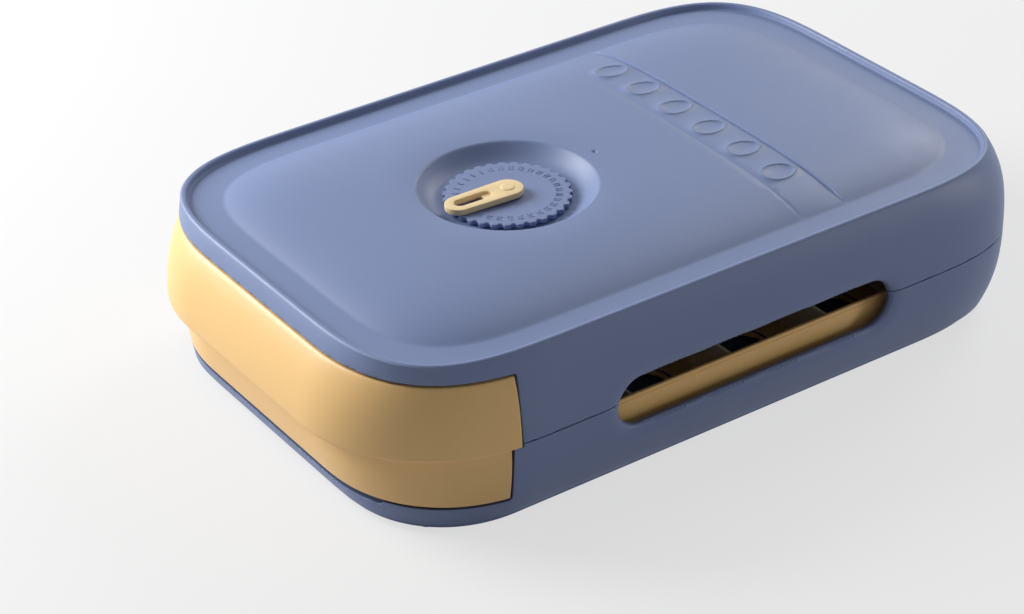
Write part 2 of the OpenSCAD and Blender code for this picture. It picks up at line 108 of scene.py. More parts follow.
def ease(z):
    """How much of SEAM a level has: all of it at the seam, none at the rim or the foot."""
    high = 1 - np.clip((z - SEAM_Z) / (RIM_Z - SEAM_Z), 0, 1) ** 3.26
    low = 1 - np.clip((SEAM_Z - z) / SEAM_Z, 0, 1) ** 2.42
    return np.where(z >= SEAM_Z, high, low)


def read(table, u):
    """Values of a closed table at u, where 0 and 1 are the middle of the rear end."""
    at = (np.asarray(u, float) % 1) * len(table)
    i = np.floor(at).astype(int) % len(table)
    part = (at - np.floor(at))[..., None]
    return table[i] * (1 - part) + table[(i + 1) % len(table)] * part


def wall_at(u, z):
    """Points of the outer wall, x and y, at u round the case and height z."""
    u, z = np.broadcast_arrays(np.asarray(u, float), np.asarray(z, float))
    share = ease(z)[..., None]
    end = np.where((z >= SEAM_Z)[..., None], read(RIM, u), read(FOOT, u))
    return end + (read(SEAM, u) - end) * share


def out_at(u, z):
    """Directions that point straight out of the wall, seen from above."""
    along = wall_at(u + 0.0008, z) - wall_at(u - 0.0008, z)
    across = np.stack([along[..., 1], -along[..., 0]], -1)
    return across / np.linalg.norm(across, axis=-1, keepdims=True)


def u_at_y(y, z):
    """Where the right-hand wall has this y. The left-hand wall has it at 1 - u."""
    grid = np.linspace(0.5, 1, 1201)
    return float(np.interp(y, wall_at(grid, z)[:, 1], grid))


def u_at_x(x, z):
    """Where the right half of the rear end has this x."""
    grid = np.linspace(0.85, 1, 601)
    return float(np.interp(-x, -wall_at(grid, z)[:, 0], grid))


print("round the seam:", round(LENGTH, 1), "mm")

# %% [markdown]
# Most pieces are sheets with cut-outs: a wall with a window, or a panel with a round dish.
# Modelling those with booleans leaves ragged edges. Here a sheet is drawn flat, as outlines
# plus a spread of inner points, joined by a Delaunay triangulation, and then bent into
# place. Cut edges stay exact, and the smooth parts stay smooth.

# %% Mesh helpers
MM = 0.001


def spaced(path, step=2.6):
    """The same path with points no more than a step apart."""
    out = [path[0]]
    for a, b in zip(path, path[1:]):
        n = max(1, int(math.ceil(math.dist(a, b) / step)))
        out += [tuple(np.array(a) + (np.array(b) - np.array(a)) * i / n) for i in range(1, n + 1)]
    return out


def gap_to(points, loops, closed=True):
    """The distance of each point from the nearest line of the loops, or of open paths."""
    last = None if closed else -1
    a = np.concatenate([np.asarray(l, float)[:last] for l in loops])
    b = np.concatenate([np.roll(np.asarray(l, float), -1, 0)[:last] for l in loops])
    d, found = b - a, []
    for chunk in np.array_split(np.asarray(points, float), max(1, len(points) // 800)):
        w = chunk[:, None] - a[None]
        t = np.clip((w * d).sum(-1) / np.maximum((d * d).sum(-1), 1e-12), 0, 1)
        found.append(np.linalg.norm(w - t[..., None] * d, axis=-1).min(1))
    return np.concatenate(found)


def inside(points, loops):
    """Whether each point is inside the loops, counted by crossings, so holes are outside."""
    p = np.asarray(points, float)
    count = np.zeros(len(p), int)
    for loop in loops:
        a = np.asarray(loop, float)
        b = np.roll(a, -1, 0)
        for (x0, y0), (x1, y1) in zip(a, b):
            if y0 != y1:
                hit = (p[:, 1] > min(y0, y1)) & (p[:, 1] <= max(y0, y1))
                count += hit & (p[:, 0] < x0 + (p[:, 1] - y0) * (x1 - x0) / (y1 - y0))
    return count % 2 == 1


def flat_sheet(loops, inner=(), lines=()):
    """Triangles over the space inside the loops. Gives points, faces and the loops' indices."""
    points, edges, rings = [], [], []
    for loop in loops:
        first = len(points)
        points += [Vector(p) for p in loop]
        ids = list(range(first, len(points)))
        rings.append(ids)
        edges += list(zip(ids, ids[1:] + ids[:1]))
    for line in lines:
        first = len(points)
        points += [Vector(p) for p in line]
        edges += [(i, i + 1) for i in range(first, len(points) - 1)]
    points += [Vector(p) for p in inner]
    verts, _, faces, origin, _, _ = delaunay_2d_cdt(points, edges, [], 0, 1e-6)
    where = {o: i for i, os in enumerate(origin) for o in os}
    verts = np.array([tuple(v) for v in verts])
    faces = np.array([list(f) for f in faces])
    keep = inside(verts[faces].mean(1), loops)
    a, b, c = (verts[faces[:, i]] for i in range(3))
    turned = (b[:, 0] - a[:, 0]) * (c[:, 1] - a[:, 1]) - (b[:, 1] - a[:, 1]) * (c[:, 0] - a[:, 0])
    keep &= np.abs(turned) > 1e-7
    faces = np.where((turned < 0)[:, None], faces[:, ::-1], faces)[keep]
    return verts, faces, [[where[i] for i in ids] for ids in rings]


class Shape:
    """Points and faces that are gathered in millimetres and become one Blender mesh."""

    def __init__(self):
        self.points, self.faces, self.kinds, self.kind = [], [], [], 0

    def add(self, points):
        first = len(self.points)
        self.points += [tuple(p) for p in np.asarray(points, float)]
        return np.arange(first, len(self.points))

    def sheet(self, ids, faces, flip=False):
        picked = np.asarray(ids)[np.asarray(faces)]
        self.faces += [tuple(f[::-1] if flip else f) for f in picked.tolist()]
        self.kinds += [self.kind] * len(picked)

    def strip(self, a, b, closed=True, flip=False):
        """Quads between two rows of points."""
        n = len(a)
        for i in range(n if closed else n - 1):
            j = (i + 1) % n
            face = (int(a[i]), int(a[j]), int(b[j]), int(b[i]))
            self.faces.append(face[::-1] if flip else face)
            self.kinds.append(self.kind)

    def fill(self, ring, flip=False):
        self.faces.append(tuple(int(i) for i in (ring[::-1] if flip else ring)))
        self.kinds.append(self.kind)

    def build(self, name, smooth=35, bevel=0.0, segments=2, merge=0.002):
        mesh = bpy.data.meshes.new(name)
        mesh.from_pydata((np.array(self.points) * MM).tolist(), [], self.faces)
        if any(self.kinds):
            mesh.materials.append(bpy.data.materials.new("outside"))
            mesh.materials.append(bpy.data.materials.new("inside"))
            mesh.polygons.foreach_set("material_index", self.kinds)
        piece = bpy.data.objects.new(name, mesh)
        bpy.context.scene.collection.objects.link(piece)
        return finished(piece, smooth, bevel, segments, merge)


def finished(piece, smooth=35, bevel=0.0, segments=2, merge=0.002):
    """Welds a piece, turns its faces outwards, rounds its sharp edges and shades it smooth."""
    bm = bmesh.new()
    bm.from_mesh(piece.data)
    bmesh.ops.remove_doubles(bm, verts=bm.verts, dist=merge * MM)
    bmesh.ops.dissolve_degenerate(bm, edges=bm.edges, dist=1e-7)
    bmesh.ops.recalc_face_normals(bm, faces=bm.faces)
    bm.to_mesh(piece.data)
    open_edges = sum(1 for e in bm.edges if len(e.link_faces) != 2)
    bm.free()
    if bevel:
        mod = piece.modifiers.new("edges", "BEVEL")
        mod.width, mod.segments, mod.limit_method = bevel * MM, segments, "ANGLE"
        mod.angle_limit = math.radians(40)
        mod.miter_outer = "MITER_ARC"
        baked(piece)
    for p in piece.data.polygons:
        p.use_smooth = True
    piece.data.set_sharp_from_angle(angle=math.radians(smooth))
    print(piece.name, len(piece.data.polygons), "faces,", open_edges, "open edges")
    return piece


def baked(piece):
    """Turns what the modifiers make into the piece's own mesh, and removes them."""
    bpy.context.view_layer.update()
    live = piece.evaluated_get(bpy.context.evaluated_depsgraph_get())
    made = bpy.data.meshes.new_from_object(live)
    piece.modifiers.clear()
    piece.data = made
    return piece


# %% [markdown]
# The side window is a long slot with round ends, cut half from the lid and half from the
# case. The wall dips softly towards it all round. One function gives how far a point of the
# wall is from the slot, and another the dip there, so both shells share them.

# %% Window and drawer opening
WINDOW_Y, WINDOW_Z, WINDOW_HALF, WINDOW_R = 6, 33, 66, 10.6
SEAM_GAP = 0.2
SILL_Z, FRONT_TOP, FRONT_END, LIP_Z, FRONT_GAP = 10.6, 63.8, 107.8, 34.8, 1.0
LIP_REACH, TOP_REACH = 3.6, 3.0
DIP, DIP_W, WINDOW_EDGE = 1.2, 6.0, 1.2
EDGE_R, EDGE_ROWS = 0.35, (0.08, 0.2, 0.36)


def from_window(y, z):
    """How far a point of a side wall is outside the slot, and less than 0 inside it."""
    return np.hypot(np.maximum(np.abs(y - WINDOW_Y) - (WINDOW_HALF - WINDOW_R), 0),
                    z - WINDOW_Z) - WINDOW_R


def dip_at(u, z):
    """How far the wall dips in towards the slot."""
    xy = wall_at(u, z)
    d = from_window(xy[..., 1], z)
    return DIP * np.clip(1 - np.maximum(d, 0) / DIP_W, 0, 1) ** 2


def rounding(d, r):
    """How far a rounded edge falls away, at a distance d in from that edge."""
    return r - np.sqrt(np.maximum(r * r - (r - np.clip(d, 0, r)) ** 2, 0))


def window_path(grow, z_cut, above):
    """The slot's outline, grown, from its front crossing of z_cut round to its rear one."""
    r = WINDOW_R + grow
    a0 = math.asin(max(-1, min(1, (z_cut - WINDOW_Z) / r)))
    sign = 1 if above else -1
    reach = WINDOW_HALF - WINDOW_R
    turn = np.linspace(a0, sign * math.pi / 2, 13)
    rear = [(WINDOW_Y + reach + r * math.cos(a), WINDOW_Z + r * math.sin(a)) for a in turn]
    front = [(2 * WINDOW_Y - y, z) for y, z in rear]
    return front + rear[::-1]


def corner(before, point, after, r, n=5):
    """A rounded corner between two straight lines."""
    p, a, b = (np.array(v, float) for v in (point, before, after))
    da, db = (a - p) / np.linalg.norm(a - p), (b - p) / np.linalg.norm(b - p)
    return [tuple(p + da * r * (1 - t) ** 2 + db * r * t ** 2) for t in np.linspace(0, 1, n)]


def on_wall(y, z):
    """The flat place of a point on the right-hand wall: its way round the case, and its height."""
    return (u_at_y(y, z) * LENGTH, z)


def mirrored_path(half):
    """A path over the right half of the wall, and its mirror image before it."""
    return [(LENGTH - u, z) for u, z in half[::-1]] + half[1:]


# %% [markdown]
# The lid's wall rises from the seam and leans in to the rim. Its lower edge steps up over
# the windows, over the drawer front, and over the case's hinge knuckles at the rear.

# %% Lid wall
COLUMNS = 400
LID_WALL, LID_T = 2.4, 2.2
RIM_START, GUTTER_Z, CROWN = 71.4, 69.8, 7.4
HINGE_X, HINGE_Y, KNUCKLE_R, KNUCKLE_L, OUTER_KNUCKLE, KNUCKLE_GAP = 44, 157.5, 3.5, 16, 9, 0.3
NOTCH = 3.0
edge_u = np.arange(COLUMNS) / COLUMNS


def lid_lower_edge():
    """The lid's lower edge, over the drawer front, the windows and the knuckles."""
    z0, top = SEAM_Z + SEAM_GAP, FRONT_TOP + FRONT_GAP
    end = FRONT_GAP - FRONT_END
    a, b = on_wall(end + TOP_REACH, top), on_wall(end + LIP_REACH, z0)
    path = [(LENGTH / 2, top)] + corner((LENGTH / 2, top), a, b, 1.6) + [b]
    path += [on_wall(y, z) for y, z in window_path(0, z0, True)]
    inner = KNUCKLE_L / 2 + KNUCKLE_GAP
    for near in (HINGE_X + inner + OUTER_KNUCKLE, HINGE_X - inner):
        u0, u1 = (u_at_x(x, z0) * LENGTH for x in (near + 0.3, near - OUTER_KNUCKLE - 0.3))
        path += [(u0, z0), (u0, z0 + NOTCH), (u1, z0 + NOTCH), (u1, z0)]
    return mirrored_path(spaced(path + [(LENGTH, z0)]))


SIDE_X = 70
FIRST_U, FIRST_Z, APART_U, APART_Z = 1.5, 1.4, 3.3, 2.9
WINDOW_RINGS = (0.1, 0.25, 0.45, 0.75, 1.2, 1.9, 2.9, 4.1, 5.3, 6.4)


def beside(path, side):
    """Rows of points close beside a cut edge, where the sheet is rounded off."""
    p = np.array(path)
    way = np.gradient(p, axis=0)
    way /= np.linalg.norm(way, axis=1)[:, None]
    sideways = side * np.column_stack([-way[:, 1], way[:, 0]])
    return np.concatenate([p + sideways * d for d in EDGE_ROWS])


def away_from_window(points, gap):
    """Which flat wall points are further than the gap from a window."""
    at = wall_at(points[:, 0] / LENGTH, points[:, 1])
    return (from_window(at[:, 1], points[:, 1]) > gap) | (np.abs(at[:, 0]) < SIDE_X)


def wall_points(loop, cut_edge, z_low, z_high, window_above):
    """A spread of inner points for a wall sheet, in rings round the windows."""
    u, z = np.meshgrid(np.arange(FIRST_U, LENGTH, APART_U), np.arange(z_low + FIRST_Z, z_high, APART_Z))
    grid = np.stack([u.ravel(), z.ravel()], 1)
    grid = grid[away_from_window(grid, DIP_W + 0.8)]
    rings = []
    for grow in WINDOW_RINGS:
        cut = (z_low + 0.6) if window_above else (z_high - 0.6)
        path = spaced([on_wall(*p) for p in window_path(grow, cut, window_above)], 2.4)
        rings += path + [(LENGTH - a, b) for a, b in path]
    rows = beside(cut_edge, 1 if window_above else -1)
    rows = rows[away_from_window(rows, WINDOW_EDGE + 0.1)]
    loop, kept = np.array(loop), []
    for points, near in ((grid, 0.6), (np.array(rings), 0.07), (rows, 0.06)):
        points = points[inside(points, [loop])]
        kept.append(points[gap_to(points, [loop]) > near])
    return np.concatenate(kept)


lower = lid_lower_edge()
upper = [(LENGTH * (1 - u), RIM_START) for u in edge_u] + [(0, RIM_START)]
side = [(LENGTH, z) for z in np.linspace(SEAM_Z, RIM_START, 12)[1:-1]]
loop = lower + side + upper + [(0, z) for _, z in side[::-1]]
flat, tris, (border,) = flat_sheet([loop], wall_points(loop, lower, SEAM_Z, RIM_START, True))
print("lid wall:", len(flat), "points,", len(tris), "triangles")


WINDOW_SIDE_X, WINDOW_MARGIN = 80, 2


def bent_wall(flat, inset=0.0, z_map=None, cut_edge=None):
    """Bends a flat wall sheet round the case, set in by the inset. A cut edge is rounded off."""
    u, z = flat[:, 0] / LENGTH, flat[:, 1]
    xy, depth = wall_at(u, z), dip_at(u, z) + inset
    if cut_edge is not None:
        along = np.abs(xy[:, 1] - WINDOW_Y) < WINDOW_HALF + WINDOW_MARGIN
        at_window = (np.abs(xy[:, 0]) > WINDOW_SIDE_X) & along
        soft = np.where(at_window, rounding(from_window(xy[:, 1], z), WINDOW_EDGE), 0)
        sharp = rounding(gap_to(flat, [cut_edge], closed=False), EDGE_R)
        depth = depth + np.maximum(soft, sharp)
    xy = xy - out_at(u, z) * depth[:, None]
    return np.column_stack([xy, z if z_map is None else z_map(z)])


def lid_lining_z(z):
    """Heights of the lid's inner wall, which ends under the gutter."""
    top, low = GUTTER_Z - LID_T, FRONT_TOP + FRONT_GAP
    return np.where(z > low, low + (z - low) * (top - low) / (RIM_START - low), z)


# %% [markdown]
# The lid's top is a rim, a narrow gutter, and a domed panel with a round dish, a slanting
# label recess and one small dimple. It is all one height over the plan, so the panel is one
# flat sheet whose points are lifted by a formula.

# %% Height of the lid's panel
DISH_Y, DISH_R, DISH_FLOOR_R, DISH_FLOOR, LEAD_IN, LEAD_W = -38.8, 35.9, 27.2, 69.7, 0.9, 15
LABEL_Y, LABEL_L, LABEL_DEPTH = 42, 21, 0.95
DIMPLE_Y, DIMPLE_R = 3.3, 1.25
PANEL_W, PANEL_L, PANEL_R, PANEL_POWER = 84.3, 136.2, 61.8, 3.4
SWELL, TOP_BOW, GROOVE, DIMPLE_DEPTH = 15.5, 0.6, 0.22, 0.75


def panel_ring(d):
    """The panel's outline, drawn in by d with its corners kept in proportion."""
    r = (PANEL_R - d, PANEL_POWER)
    return read(outline(PANEL_W - d, PANEL_L - d, r, r), edge_u)


def panel_depth(x, y):
    """How far in from the panel's outline a point is, with no crease towards the corners."""
    u = np.maximum(np.abs(x) - (PANEL_W - PANEL_R), 0) / PANEL_R
    v = np.maximum(np.abs(y) - (PANEL_L - PANEL_R), 0) / PANEL_R
    return PANEL_R * (1 - np.clip((u ** PANEL_POWER + v ** PANEL_POWER) ** (1 / PANEL_POWER), 0, 1))


panel_edge = panel_ring(0)
EGG_W, EGG_L, EGG_POINT, EGG_PITCH = 5.4, 7.4, 0.13, 22


def egg_gap(x, y):
    """How far a point is outside an egg's outline, roughly in millimetres."""
    w = EGG_W * (1 - EGG_POINT * np.clip(y / EGG_L, -1, 1))
    q = np.hypot(x / w, y / EGG_L)
    return (q - 1) * (EGG_W + EGG_L) / 2


EGG_X = [(i - 2.5) * EGG_PITCH for i in range(6)]
EGG_Y, EGG_RISE, EGG_LINE = LABEL_Y + LABEL_L / 2, 0.42, 1.2


def bowl_rise(t):
    """The dish's wall, from 0 at its floor to 1 at its rounded upper edge."""
    w, steep = 0.07, 1.8
    k = np.clip((t - 1 + w) / (2 * w), 0, 1)
    edge = (1 - k) ** 2 * (1 - steep * w) + 2 * k * (1 - k) + k ** 2
    return np.where(t < 1 - w, np.clip(t, 0, 1) ** steep, edge)


def panel_height(p):
    """The panel's height: dome, label band, egg outlines, dish and dimple in turn."""
    x, y = p[:, 0], p[:, 1]
    d = panel_depth(x, y)
    soft = np.where(d < 1.6, d * d / 3.2, d - 0.8)
    rise = 1 - np.exp(-soft / SWELL)
    bow = TOP_BOW * (1 - (x / 88) ** 2) * (1 - (y / 140) ** 2)
    z = GUTTER_Z + (CROWN - TOP_BOW) * rise + np.clip(bow, 0, 1)
    slope = np.where((y >= LABEL_Y) & (y <= LABEL_Y + LABEL_L), (y - LABEL_Y) / LABEL_L, 0)
    groove = GROOVE * np.clip(1 - np.abs(y - LABEL_Y + 0.3) / 0.35, 0, 1)
    z -= (LABEL_DEPTH * slope ** 1.5 + groove) * np.clip((d - 2.5) / 9, 0, 1) ** 0.7
    for ex in EGG_X:
        z += EGG_RISE * np.clip(0.5 - (np.abs(egg_gap(x - ex, y - EGG_Y)) - EGG_LINE / 2) / 0.5, 0, 1)
    rho = np.hypot(x, y - DISH_Y)
    z -= LEAD_IN * (1 - np.clip((rho - DISH_R) / LEAD_W, 0, 1)) ** 2
    z = DISH_FLOOR + (z - DISH_FLOOR) * bowl_rise((rho - DISH_FLOOR_R) / (DISH_R - DISH_FLOOR_R))
    r = np.hypot(x, y - DIMPLE_Y)
    return z - DIMPLE_DEPTH * np.clip(1 - (r / DIMPLE_R) ** 2, 0, 1)


def circle(x, y, r, n):
    """A ring of n points."""
    return [(x + r * math.cos(a), y + r * math.sin(a)) for a in np.arange(n) * 2 * math.pi / n]


# %% The panel's points
BORE = 6.06
PANEL_RINGS = (0.4, 0.8, 1.2, 1.7, 2.4, 3.4, 4.8, 6.6, 8.8, 11.4, 14.4, 17.8, 21.6)
GRID_STEP, GRID_DEPTH = 3.7, 24
extra = []
for d in PANEL_RINGS:
    extra += [tuple(p) for p in panel_ring(d)]
for r in np.concatenate([[7.5, 10, 14, 19, 24, 26.4], np.arange(DISH_FLOOR_R, DISH_R - 1.5, 0.75),
                         np.arange(DISH_R - 1.2, DISH_R + 1.3, 0.3)]):
    extra += circle(0, DISH_Y, r, int(max(24, min(150, 2 * math.pi * r / 1.5))))
for r in (0.3, 0.6, 0.9, 1.15, 1.4, 1.9, 2.8):
    extra += circle(0, DIMPLE_Y, r, 14)
for ex in EGG_X:
    for g in (-0.9, -0.6, -0.35, -0.1, 0.1, 0.35, 0.6, 0.9):
        for a in np.arange(48) * 2 * math.pi / 48:
            hw, hl = EGG_W + g, EGG_L + g
            extra.append((ex + hw * math.cos(a) * (1 - EGG_POINT * math.sin(a)), EGG_Y + hl * math.sin(a)))
gx, gy = np.meshgrid(np.arange(-90, 90.1, GRID_STEP), np.arange(-140, 140.1, GRID_STEP))
grid = np.stack([gx.ravel(), gy.ravel()], 1)
grid = grid[inside(grid, [panel_edge])]
far_in = panel_depth(grid[:, 0], grid[:, 1]) > GRID_DEPTH
rho = np.hypot(grid[:, 0], grid[:, 1] - DISH_Y)
eggs = np.min([np.hypot(grid[:, 0] - ex, grid[:, 1] - EGG_Y) for ex in EGG_X], 0)
clear = (rho > DISH_R + 2) & (np.hypot(grid[:, 0], grid[:, 1] - DIMPLE_Y) > 4) & (eggs > 9.5)
grid = grid[far_in & clear]
extra = np.concatenate([np.array(extra), grid])
STEP_ROWS = [LABEL_Y - 0.68, LABEL_Y - 0.3, LABEL_Y + 0.08,
             LABEL_Y + LABEL_L - 0.02, LABEL_Y + LABEL_L + 0.22]
near = np.min([np.abs(extra[:, 1] - y) for y in STEP_ROWS], 0)
extra = extra[near > 0.5]
right_edge, lines = panel_edge[COLUMNS // 2:], []
for y in STEP_ROWS:
    half = float(np.interp(y, right_edge[:, 1], right_edge[:, 0])) - 0.35
    lines.append(spaced([(-half, y), (half, y)], 2.4))
bore = circle(0, DISH_Y, BORE, 64)
top_flat, top_tris, (top_edge, bore_edge) = flat_sheet([list(map(tuple, panel_edge)), bore], extra, lines)
panel_z = panel_height(top_flat)
print("lid panel:", len(top_flat), "points, top at", round(float(panel_z.max()), 2), "mm")

# %% Lid shell
RIM_PROFILE = [(-0.22, 71.8), (0.1, 72.15), (0.5, 72.38), (1.0, 72.4), (1.5, 72.36), (1.95, 72.1),
               (2.2, 71.6), (2.35, 70.6), (2.6, 70.05), (3.1, 69.84), (4.2, 69.8), (7.4, 69.8)]
# The second kind of face takes the darker inside blue, which is painted shade.
OUTSIDE, SHADED_INSIDE = 0, 1
lid = Shape()
outer = lid.add(bent_wall(flat, cut_edge=lower))
lining = lid.add(bent_wall(flat, LID_WALL, lid_lining_z))
lid.sheet(outer, tris)
lid.kind = SHADED_INSIDE
lid.sheet(lining, tris, flip=True)
lid.kind = OUTSIDE
n_low = len(lower)
cut = border[:n_low]
lid.strip(outer[cut], lining[cut], closed=False, flip=True)
top_row = [border[n_low + len(side) + COLUMNS - j] for j in range(COLUMNS)]
row, under = outer[top_row], lining[top_row]
for inset, z in RIM_PROFILE:
    xy = read(RIM, edge_u) - out_at(edge_u, RIM_Z) * inset
    new = lid.add(np.column_stack([xy, np.full(COLUMNS, z)]))
    lid.strip(row, new)
    row = new
panel = lid.add(np.column_stack([top_flat, panel_z]))
lid.strip(row, panel[top_edge])
lid.sheet(panel, top_tris)
rho = np.hypot(top_flat[:, 0], top_flat[:, 1] - DISH_Y)
bowl = np.clip((rho - DISH_FLOOR_R) / (DISH_R - DISH_FLOOR_R), 0, 1)
ceiling = lid.add(np.column_stack([top_flat, panel_z - (1.8 + 0.4 * bowl)]))
lid.kind = SHADED_INSIDE
lid.sheet(ceiling, top_tris, flip=True)
lid.strip(under, ceiling[top_edge], flip=True)
lid.strip(panel[bore_edge], ceiling[bore_edge], flip=True)
lid_shell = lid.build("lid_shell", smooth=38)

# %% [markdown]
# The case is the lid's counterpart: one wall sheet with the drawer's opening, the lower
# halves of the windows and two notches for the lid's knuckles. Below the wall the foot is
# drawn in, so that it nests inside the rim of a keeper underneath.

# %% Case wall
FLOOR_TOP, BAND_Z = 10.2, 4.4
LEDGE, LEDGE_X, LEDGE_W = 1.2, 72, 1.3
FOOT_PROFILE = [(-1.1, 3.7), (1.3, 3.0), (1.3, 0.9), (1.6, 0.6), (3.4, 0.6), (3.7, 0.9), (3.7, 7.9),
                (4.0, 8.2)]


def u_at_front_x(x, z):
    """Where the right half of the drawer end has this x."""
    grid = np.linspace(0.5, 0.75, 801)
    return float(np.interp(x, wall_at(grid, z)[:, 0], grid))


def case_upper_edge():
    """The case's upper edge, under the drawer front, the windows and the knuckles."""
    z0 = SEAM_Z - SEAM_GAP
    low_end, high_end = FRONT_GAP - FRONT_END, FRONT_GAP + LIP_REACH - FRONT_END
    step = u_at_front_x(LEDGE_X, SILL_Z) * LENGTH
    a, b, c = on_wall(low_end, SILL_Z), on_wall(low_end, LIP_Z - 0.6), on_wall(high_end, LIP_Z - 0.6)
    path = [(LENGTH / 2, SILL_Z - LEDGE), (step - 1, SILL_Z - LEDGE), (step, SILL_Z)]
    path += corner((step, SILL_Z), a, b, 2) + [b, c, on_wall(high_end, z0)]
    path += [on_wall(y, z) for y, z in window_path(0, z0, False)]
    reach = KNUCKLE_L / 2 + KNUCKLE_GAP
    u0, u1 = (u_at_x(x, z0) * LENGTH for x in (HINGE_X + reach, HINGE_X - reach))
    path += [(u0, z0), (u0, z0 - NOTCH), (u1, z0 - NOTCH), (u1, z0)]
    return mirrored_path(spaced(path + [(LENGTH, z0)]))


def case_lining_z(z):
    """Heights of the case's inner wall, which starts at its floor."""
    rise = FLOOR_TOP + (z - BAND_Z) * (SILL_Z - FLOOR_TOP) / (SILL_Z - BAND_Z)
    return np.where(z < SILL_Z, rise, z)


case_cut = case_upper_edge()
foot_row = [(LENGTH * u, BAND_Z) for u in edge_u] + [(LENGTH, BAND_Z)]
side = [(LENGTH, z) for z in np.linspace(BAND_Z, SEAM_Z - SEAM_GAP, 12)[1:-1]]
loop = foot_row + side + case_cut[::-1] + [(0, z) for _, z in side[::-1]]
flat, tris, (border,) = flat_sheet([loop], wall_points(loop, case_cut, BAND_Z, SEAM_Z - SEAM_GAP, False))
lined = np.column_stack([flat[:, 0], case_lining_z(flat[:, 1])])
ids = np.array(border)
cut = ids[len(foot_row) + len(side):len(foot_row) + len(side) + len(case_cut)]
on_ledge = np.zeros(len(flat), bool)
on_ledge[cut] = flat[cut][:, 1] < SILL_Z - 0.01
lined[on_ledge, 1] = SILL_Z
case = Shape()
outer = case.add(bent_wall(flat, cut_edge=case_cut))
lining = case.add(bent_wall(lined, LID_WALL))
case.sheet(outer, tris)
case.kind = SHADED_INSIDE
case.sheet(lining, tris, flip=True)
shelf = case.add(bent_wall(flat[cut], LEDGE_W))
lifted = np.column_stack([flat[cut][:, 0], np.where(on_ledge[cut], SILL_Z, flat[cut][:, 1])])
riser = case.add(bent_wall(lifted, LEDGE_W))
# The shelf and riser under the drawer front also take the darker inside blue: painted shade for the gap below
# the drawer front.
case.strip(outer[cut], shelf, closed=False)
case.strip(shelf, riser, closed=False)
case.strip(riser, lining[cut], closed=False)
case.kind = OUTSIDE
row, inner_row = outer[ids[:COLUMNS]], lining[ids[:COLUMNS]]
for inset, z in FOOT_PROFILE:
    xy = read(FOOT, edge_u) - out_at(edge_u, 0) * inset
    new = case.add(np.column_stack([xy, np.full(COLUMNS, z)]))
    case.strip(row, new)
    row = new
case.fill(row)
case.kind = SHADED_INSIDE
case.fill(inner_row)
case_shell = case.build("case_shell", smooth=38)

# %% [markdown]
# Small moulded parts of the two shells are turned or drawn on their own: hinge knuckles with
# real bores, the roots of the tabs that keep the lid in line, the rails and guides for the
# tray, and the bosses round the feet. A profile carried round an axis gives the round ones.

# %% Turned and drawn fittings
HINGE_BORE = 1.56
TAB_Y, TAB_HALF, TAB_ROOT, TAB_TOP = (-90, 100), 10, 36.6, 41.6
TAB_ROOT_IN, TAB_ROOT_OUT = 100.1, 101.7
RAIL_X, RAIL_HALF_W, RAIL_HALF_L, RAIL_LOW, RAIL_TOP = 46.25, 1.5, 134, 10.0, 11.2
GUIDE_Y, GUIDE_IN, GUIDE_OUT, GUIDE_HALF, GUIDE_LOW, GUIDE_TOP = (-70, 80), 95.0, 101.0, 30, 17.2, 18.8
FOOT_X, FOOT_Y = 79.8, 131.8
BOSS = [(0, 2.0), (3.1, 2.0), (3.1, 0.9), (3.3, 0.7), (4.0, 0.7), (4.2, 0.9), (4.2, 8.3), (0, 8.3)]


def turned(shape, profile, place, n=40, axis="z"):
    """Carries [radius, height] points round an axis. A closed profile makes a ring."""
    rows = []
    for a in np.arange(n) * 2 * math.pi / n:
        c, s = math.cos(a), math.sin(a)
        if axis == "z":
            rows.append([(r * c, r * s, h) for r, h in profile])
        else:
            rows.append([(h, r * c, r * s) for r, h in profile])
    solid = profile[0][0] == 0 and profile[-1][0] == 0
    ids = [shape.add(np.array(row) + place) for row in rows]
    for a, b in zip(ids, ids[1:] + ids[:1]):
        shape.strip(a, b, closed=not solid)


def block(shape, low, high, taper=0.0):
    """A moulded bar with a little draft towards its top."""
    def level(inset, z):
        x0, y0, x1, y1 = low[0] + inset, low[1] + inset, high[0] - inset, high[1] - inset
        return shape.add([(x0, y0, z), (x1, y0, z), (x1, y1, z), (x0, y1, z)])

    base, top = level(0, low[2]), level(taper, high[2])
    shape.strip(base, top)
    shape.fill(base, flip=True)
    shape.fill(top)


def knuckle(shape, x0, x1):
    """A hinge knuckle from x0 to x1, with a bore for the pin and broken edges."""
    r, bore = KNUCKLE_R, HINGE_BORE
    profile = [(bore, x0 + 0.3), (bore + 0.3, x0), (r - 0.5, x0), (r, x0 + 0.5),
               (r, x1 - 0.5), (r - 0.5, x1), (bore + 0.3, x1), (bore, x1 - 0.3)]
    turned(shape, profile, (0, HINGE_Y, SEAM_Z), 44, "x")


